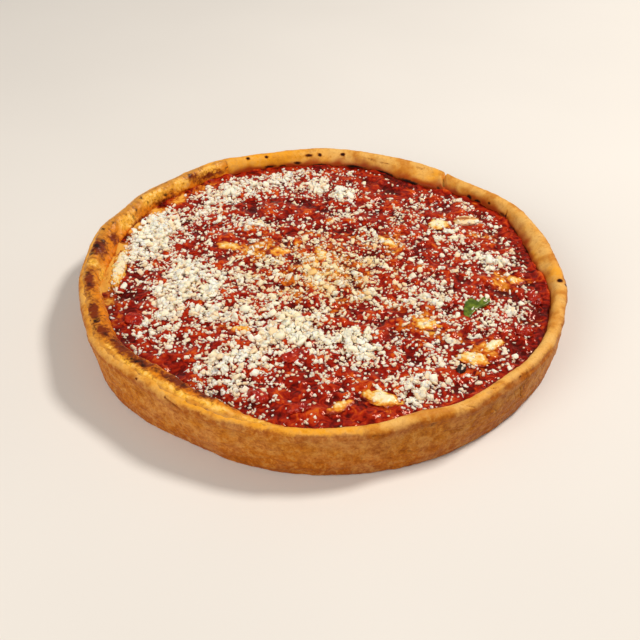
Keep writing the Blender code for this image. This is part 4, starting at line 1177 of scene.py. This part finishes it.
def scatter_tree():
    """Crumbs thrown over a surface, by its cheese share and in clumps, each broken to its own shape."""
    tree = bpy.data.node_groups.new("thrown_crumbs", "GeometryNodeTree")
    tree.interface.new_socket("Surface", in_out="INPUT", socket_type="NodeSocketGeometry")
    inputs = {
        "NodeSocketFloat": (
            "Crumbs per area", "Smallest", "Largest", "Skew", "Clumping", "Clump size", "Least share",
            "Strand width", "Lift", "Pile", "Roundness", "Brokenness", "Soak"),
        "NodeSocketVector": ("Thinnest", "Thickest"),
        "NodeSocketInt": ("Sides", "Seed"),
        "NodeSocketMaterial": ("Material",),
    }
    for kind, names in inputs.items():
        for name in names:
            tree.interface.new_socket(name, in_out="INPUT", socket_type=kind)
    tree.interface.new_socket("Crumbs", in_out="OUTPUT", socket_type="NodeSocketGeometry")
    given = add(tree, "NodeGroupInput").outputs

    place = add(tree, "GeometryNodeInputPosition")
    share = add(tree, "GeometryNodeInputNamedAttribute", {"Name": "cheese_share"})
    per_clump = add(tree, "ShaderNodeMath", {0: 1.0, 1: given["Clump size"]}, operation="DIVIDE")
    strand_noise = add(tree, "ShaderNodeTexNoise", {
        "Vector": place, "Scale": per_clump, "Detail": 2.0, "Distortion": 0.6})
    signed = add(tree, "ShaderNodeMath", {0: strand_noise, 1: 2.0, 2: -1.0}, operation="MULTIPLY_ADD")
    off_strand = add(tree, "ShaderNodeMath", {0: signed}, operation="ABSOLUTE")
    broad_noise = add(tree, "ShaderNodeTexNoise", {"Vector": place, "Scale": 1 / (15 * MM), "Detail": 1.0})
    broad = add(tree, "ShaderNodeMapRange", {0: broad_noise, 1: 0.38, 2: 0.62, 3: 0.72, 4: 1.28})
    patchy = add(tree, "ShaderNodeMath", {0: share, 1: broad}, operation="MULTIPLY")
    over = add(tree, "ShaderNodeMath", {
        0: patchy, 1: given["Least share"]}, operation="SUBTRACT", use_clamp=True)
    reach = add(tree, "ShaderNodeMath", {0: over, 1: given["Strand width"]}, operation="MULTIPLY")
    inside = add(tree, "ShaderNodeMath", {0: reach, 1: off_strand}, operation="SUBTRACT")
    strands = add(tree, "ShaderNodeMath", {
        0: inside, 1: STRAND_SHARPNESS}, operation="MULTIPLY", use_clamp=True)
    thrown = add(tree, "ShaderNodeMix", {0: given["Clumping"], 2: over, 3: strands})
    density = add(tree, "ShaderNodeMath", {0: thrown, 1: given["Crumbs per area"]}, operation="MULTIPLY")
    points = add(tree, "GeometryNodeDistributePointsOnFaces", {
        "Mesh": given["Surface"], "Density": density, "Seed": given["Seed"]})

    corners = {f"Vertices {axis}": given["Sides"] for axis in "XYZ"}
    cube = add(tree, "GeometryNodeMeshCube", {"Size": (2, 2, 2), **corners})
    corner = add(tree, "GeometryNodeInputPosition")
    ball = add(tree, "ShaderNodeVectorMath", {0: corner}, operation="NORMALIZE")
    rounded = add(tree, "ShaderNodeMix", {0: given["Roundness"], 4: corner, 5: ball}, data_type="VECTOR")
    crumb = add(tree, "GeometryNodeSetPosition", {"Geometry": cube, "Position": rounded})

    draw = add(tree, "FunctionNodeRandomValue", {2: 0.0, 3: 1.0, "Seed": given["Seed"]})
    skewed = add(tree, "ShaderNodeMath", {0: draw, 1: given["Skew"]}, operation="POWER")
    size = add(tree, "ShaderNodeMapRange", {0: skewed, 3: given["Smallest"], 4: given["Largest"]})
    half = add(tree, "ShaderNodeMath", {0: size, 1: 0.5}, operation="MULTIPLY")
    shape = add(tree, "FunctionNodeRandomValue", {
        0: given["Thinnest"], 1: given["Thickest"], "Seed": 5}, data_type="FLOAT_VECTOR")
    scale = add(tree, "ShaderNodeVectorMath", {0: shape, "Scale": half}, operation="SCALE")
    turn = add(tree, "FunctionNodeRandomValue", {
        0: (-CRUMB_TILT, -CRUMB_TILT, 0.0), 1: (CRUMB_TILT, CRUMB_TILT, math.tau), "Seed": 6},
        data_type="FLOAT_VECTOR")
    thrown_crumbs = add(tree, "GeometryNodeInstanceOnPoints", {
        "Points": points, "Instance": crumb, "Rotation": turn, "Scale": scale})

    pile_draw = add(tree, "FunctionNodeRandomValue", {2: 0.0, 3: 1.0, "Seed": 7})
    pile = add(tree, "ShaderNodeMath", {0: pile_draw, 1: given["Pile"]}, operation="MULTIPLY")
    piled = add(tree, "ShaderNodeMath", {0: pile, 1: share}, operation="MULTIPLY")
    lifted = add(tree, "ShaderNodeMath", {0: half, 1: given["Lift"], 2: piled}, operation="MULTIPLY_ADD")
    upwards = add(tree, "ShaderNodeCombineXYZ", {"Z": lifted})
    raised = add(tree, "GeometryNodeTranslateInstances", {
        "Instances": thrown_crumbs, "Translation": upwards, "Local Space": False})
    tint = add(tree, "FunctionNodeRandomValue", {2: 0.0, 3: 1.0, "Seed": 8})
    soak_draw = add(tree, "FunctionNodeRandomValue", {2: 0.0, 3: 1.0, "Seed": 11})
    soak = add(tree, "ShaderNodeMath", {0: soak_draw, 1: given["Soak"]}, operation="MULTIPLY")
    at_middle = add(tree, "GeometryNodeInputPosition")
    middle = add(tree, "ShaderNodeSeparateXYZ", {0: at_middle}).outputs["Z"]
    for name, value in (("tint", tint), ("soaked", soak), ("middle_height", middle), ("half_size", half)):
        raised = add(tree, "GeometryNodeStoreNamedAttribute", {
            "Geometry": raised, "Name": name, "Value": value}, domain="INSTANCE")

    whole = add(tree, "GeometryNodeRealizeInstances", {"Geometry": raised})
    at = add(tree, "GeometryNodeInputPosition")
    bulk = add(tree, "GeometryNodeInputNamedAttribute", {"Name": "half_size"})
    own_scale = add(tree, "ShaderNodeVectorMath", {0: at, 1: bulk}, operation="DIVIDE")
    broken = add(tree, "ShaderNodeTexNoise", {"Vector": own_scale, "Scale": 0.9, "Detail": 1.0})
    centred = add(tree, "ShaderNodeVectorMath", {
        0: broken.outputs["Color"], 1: (0.5, 0.5, 0.5)}, operation="SUBTRACT")
    reach = add(tree, "ShaderNodeMath", {0: bulk, 1: given["Brokenness"]}, operation="MULTIPLY")
    push = add(tree, "ShaderNodeVectorMath", {0: centred, "Scale": reach}, operation="SCALE")
    shaped = add(tree, "GeometryNodeSetPosition", {"Geometry": whole, "Offset": push})
    softened = add(tree, "GeometryNodeSetShadeSmooth", {"Geometry": shaped})
    finished = add(tree, "GeometryNodeSetMaterial", {
        "Geometry": softened, "Material": given["Material"]})
    add(tree, "NodeGroupOutput", {"Crumbs": finished})
    return tree


def grated_cheese():
    """Dry grated cheese: matt, chalky white and a little translucent, cream where warm, pink at its foot from
    sauce and from painted shade with red light bounced off the sauce.
    """
    made, tree, shader, place = food_material("dry_grated_cheese", {
        "Roughness": 0.7, "Specular IOR Level": 0.15, "Subsurface Weight": 0.6,
        "Subsurface Radius": (1.0, 0.8, 0.55), "Subsurface Scale": 1.6 * MM})
    tint, creamy, soaked, middle = [
        add(tree, "ShaderNodeAttribute", attribute_name=name).outputs["Fac"]
        for name in ("tint", "creamy", "soaked", "middle_height")]
    colour = add(tree, "ShaderNodeValToRGB", {0: tint}, stops=(
        (0.0, "#FADCB6"), (0.3, "#FFF2D6"), (1.0, "#FFFBE8")))
    cream = add(tree, "ShaderNodeValToRGB", {0: tint}, stops=(
        (0.0, "#F6CA84"), (0.35, "#FBE2AE"), (1.0, "#FFF4D8")))
    # Each crumb's low side is tinted pink-orange: partly sauce soaked in, partly painted shade and painted
    # red light bounced up from the sauce
    height = add(tree, "ShaderNodeSeparateXYZ", {0: place}).outputs["Z"]
    low = add(tree, "ShaderNodeMath", {0: middle, 1: height}, operation="SUBTRACT")
    stained_and_shaded_foot = add(tree, "ShaderNodeMapRange", {0: low, 1: 0.0, 2: 1.1 * MM, 3: 0.0, 4: 0.8})
    for share, upper in ((creamy, cream), (soaked, linear("#E49A70")), (stained_and_shaded_foot, linear("#E07C50"))):
        colour = add(tree, "ShaderNodeMix", {"Factor": share, "A": colour, "B": upper}, data_type="RGBA")
    feed(tree, shader, {"Base Color": colour})
    return made


def throw(name, surface, tree, values):
    """Run the scatter on the surface and keep its result as a plain mesh."""
    modifier = surface.modifiers.new(name, "NODES")
    modifier.node_group = tree
    for item in tree.interface.items_tree:
        if item.in_out == "INPUT" and item.name in values:
            modifier[item.identifier] = values[item.name]
    evaluated = surface.evaluated_get(bpy.context.evaluated_depsgraph_get())
    mesh = bpy.data.meshes.new_from_object(evaluated)
    mesh.name = name
    surface.modifiers.remove(modifier)
    made = bpy.data.objects.new(name, mesh)
    bpy.context.scene.collection.objects.link(made)
    return made


CRUMBS = {
    "Crumbs per area": 0.20e6, "Smallest": 1.5 * MM, "Largest": 3.5 * MM, "Skew": 1.8, "Clumping": 0.95,
    "Clump size": 6 * MM, "Least share": 0.12, "Strand width": 0.115, "Lift": 0.1, "Pile": 0.3 * MM,
    "Roundness": 0.45, "Brokenness": 1.6, "Soak": 0.2, "Thinnest": (0.9, 0.7, 0.35),
    "Thickest": (1.7, 1.2, 0.6), "Sides": 3, "Seed": 4,
}
FINE_CRUMBS = {
    **CRUMBS, "Crumbs per area": 0.42e6, "Smallest": 0.9 * MM, "Largest": 2.0 * MM, "Least share": 0.0,
    "Strand width": 0.10, "Clumping": 0.9, "Clump size": 5 * MM, "Roundness": 0.3, "Soak": 0.5, "Sides": 2,
}
SCATTERS = {
    "grated_cheese_crumbs": CRUMBS,
    "grated_cheese_fine_crumbs": {**FINE_CRUMBS, "Seed": 3},
    "grated_cheese_dust": {**FINE_CRUMBS, "Crumbs per area": 0.18e6, "Clump size": 3.5 * MM,
                           "Strand width": 0.15, "Smallest": 0.7 * MM, "Largest": 1.4 * MM, "Seed": 17},
    "grated_cheese_heaps": {**CRUMBS, "Crumbs per area": 0.14e6, "Smallest": 1.8 * MM, "Largest": 4.6 * MM,
                            "Clumping": 0.6, "Clump size": 7 * MM, "Least share": 0.9, "Strand width": 0.4,
                            "Lift": 0.35, "Pile": 0.9 * MM, "Soak": 0.0, "Seed": 9},
    "grated_cheese_shreds": {**CRUMBS, "Crumbs per area": 0.012e6, "Smallest": 0.8 * MM, "Largest": 1.3 * MM,
                             "Clumping": 0.7, "Roundness": 0.4, "Thinnest": (2.6, 0.7, 0.5),
                             "Thickest": (5.0, 1.0, 0.8), "Soak": 0.1, "Seed": 31},
}

landing = landing_surface()
crumb_tree = scatter_tree()
dry_cheese = grated_cheese()
for name, values in SCATTERS.items():
    crumbs = throw(name, landing, crumb_tree, {**values, "Material": dry_cheese})
    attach(crumbs, "root")
bpy.data.objects.remove(landing)

# ---------------------------------------------------------------------------------------------------------
# The floor, the light and the camera
# A plain pale floor, a soft lamp behind to the right, a larger and weaker one in front to the left, and a
# camera that looks down at the pizza from in front.
# ---------------------------------------------------------------------------------------------------------

FLOOR_SIZE = 20
VIEW_ANGLE = 39.0
VIEW_ROLL = 0.9
CAMERA_PLACE = Vector((-2.5, -464.4, 356.5)) * MM
LOOKED_AT = Vector((-2.5, -17.5, 0)) * MM


def pale_floor():
    """Matt wall paint: plain, pale and a little warm, so that only the pizza has colour."""
    made, tree, shader, place = food_material("matt_pale_paint", {"Roughness": 0.9})
    faint = add(tree, "ShaderNodeTexNoise", {"Vector": place, "Scale": 4.0, "Detail": 2.0})
    tone = add(tree, "ShaderNodeValToRGB", {0: faint}, stops=((0.3, "#E4E0DA"), (0.7, "#E8E4DE")))
    feed(tree, shader, {"Base Color": tone})
    return made


def soft_lamp(name, place, size, power, colour):
    lamp = bpy.data.lights.new(name, "AREA")
    lamp.shape = "DISK"
    lamp.size = size
    lamp.energy = power
    lamp.color = linear(colour)[:3]
    made = bpy.data.objects.new(name, lamp)
    made.location = place
    made.rotation_mode = "QUATERNION"
    made.rotation_quaternion = (-Vector(place)).to_track_quat("-Z", "Y")
    bpy.context.scene.collection.objects.link(made)


bm = bmesh.new()
bmesh.ops.create_grid(bm, x_segments=1, y_segments=1, size=FLOOR_SIZE / 2)
floor_mesh = bpy.data.meshes.new("floor")
bm.to_mesh(floor_mesh)
bm.free()
new_object("floor", floor_mesh, pale_floor())

soft_lamp("key_lamp", (0.95, 0.4, 1.4), 0.36, 23, "#FFF8F0")
soft_lamp("front_lamp", (-1.0, -1.1, 1.0), 1.2, 17, "#FFF8F0")

world = bpy.data.worlds.new("soft_room")
world.use_nodes = True
feed(world.node_tree, world.node_tree.nodes["Background"], {"Color": linear("#F4F1EC"), "Strength": 0.3})
bpy.context.scene.world = world
bpy.context.scene.view_settings.view_transform = "Standard"

camera = bpy.data.objects.new("camera", bpy.data.cameras.new("camera"))
bpy.context.scene.collection.objects.link(camera)
camera.data.sensor_width = 36
camera.data.lens = camera.data.sensor_width / 2 / math.tan(math.radians(VIEW_ANGLE / 2))
camera.data.clip_start = 10 * MM
camera.data.clip_end = 100
back = (CAMERA_PLACE - LOOKED_AT).normalized()
camera.rotation_mode = "QUATERNION"
camera.rotation_quaternion = (
    (-back).to_track_quat("-Z", "Y") @ Matrix.Rotation(math.radians(VIEW_ROLL), 3, "Z").to_quaternion())
camera.location = CAMERA_PLACE
bpy.context.scene.camera = camera
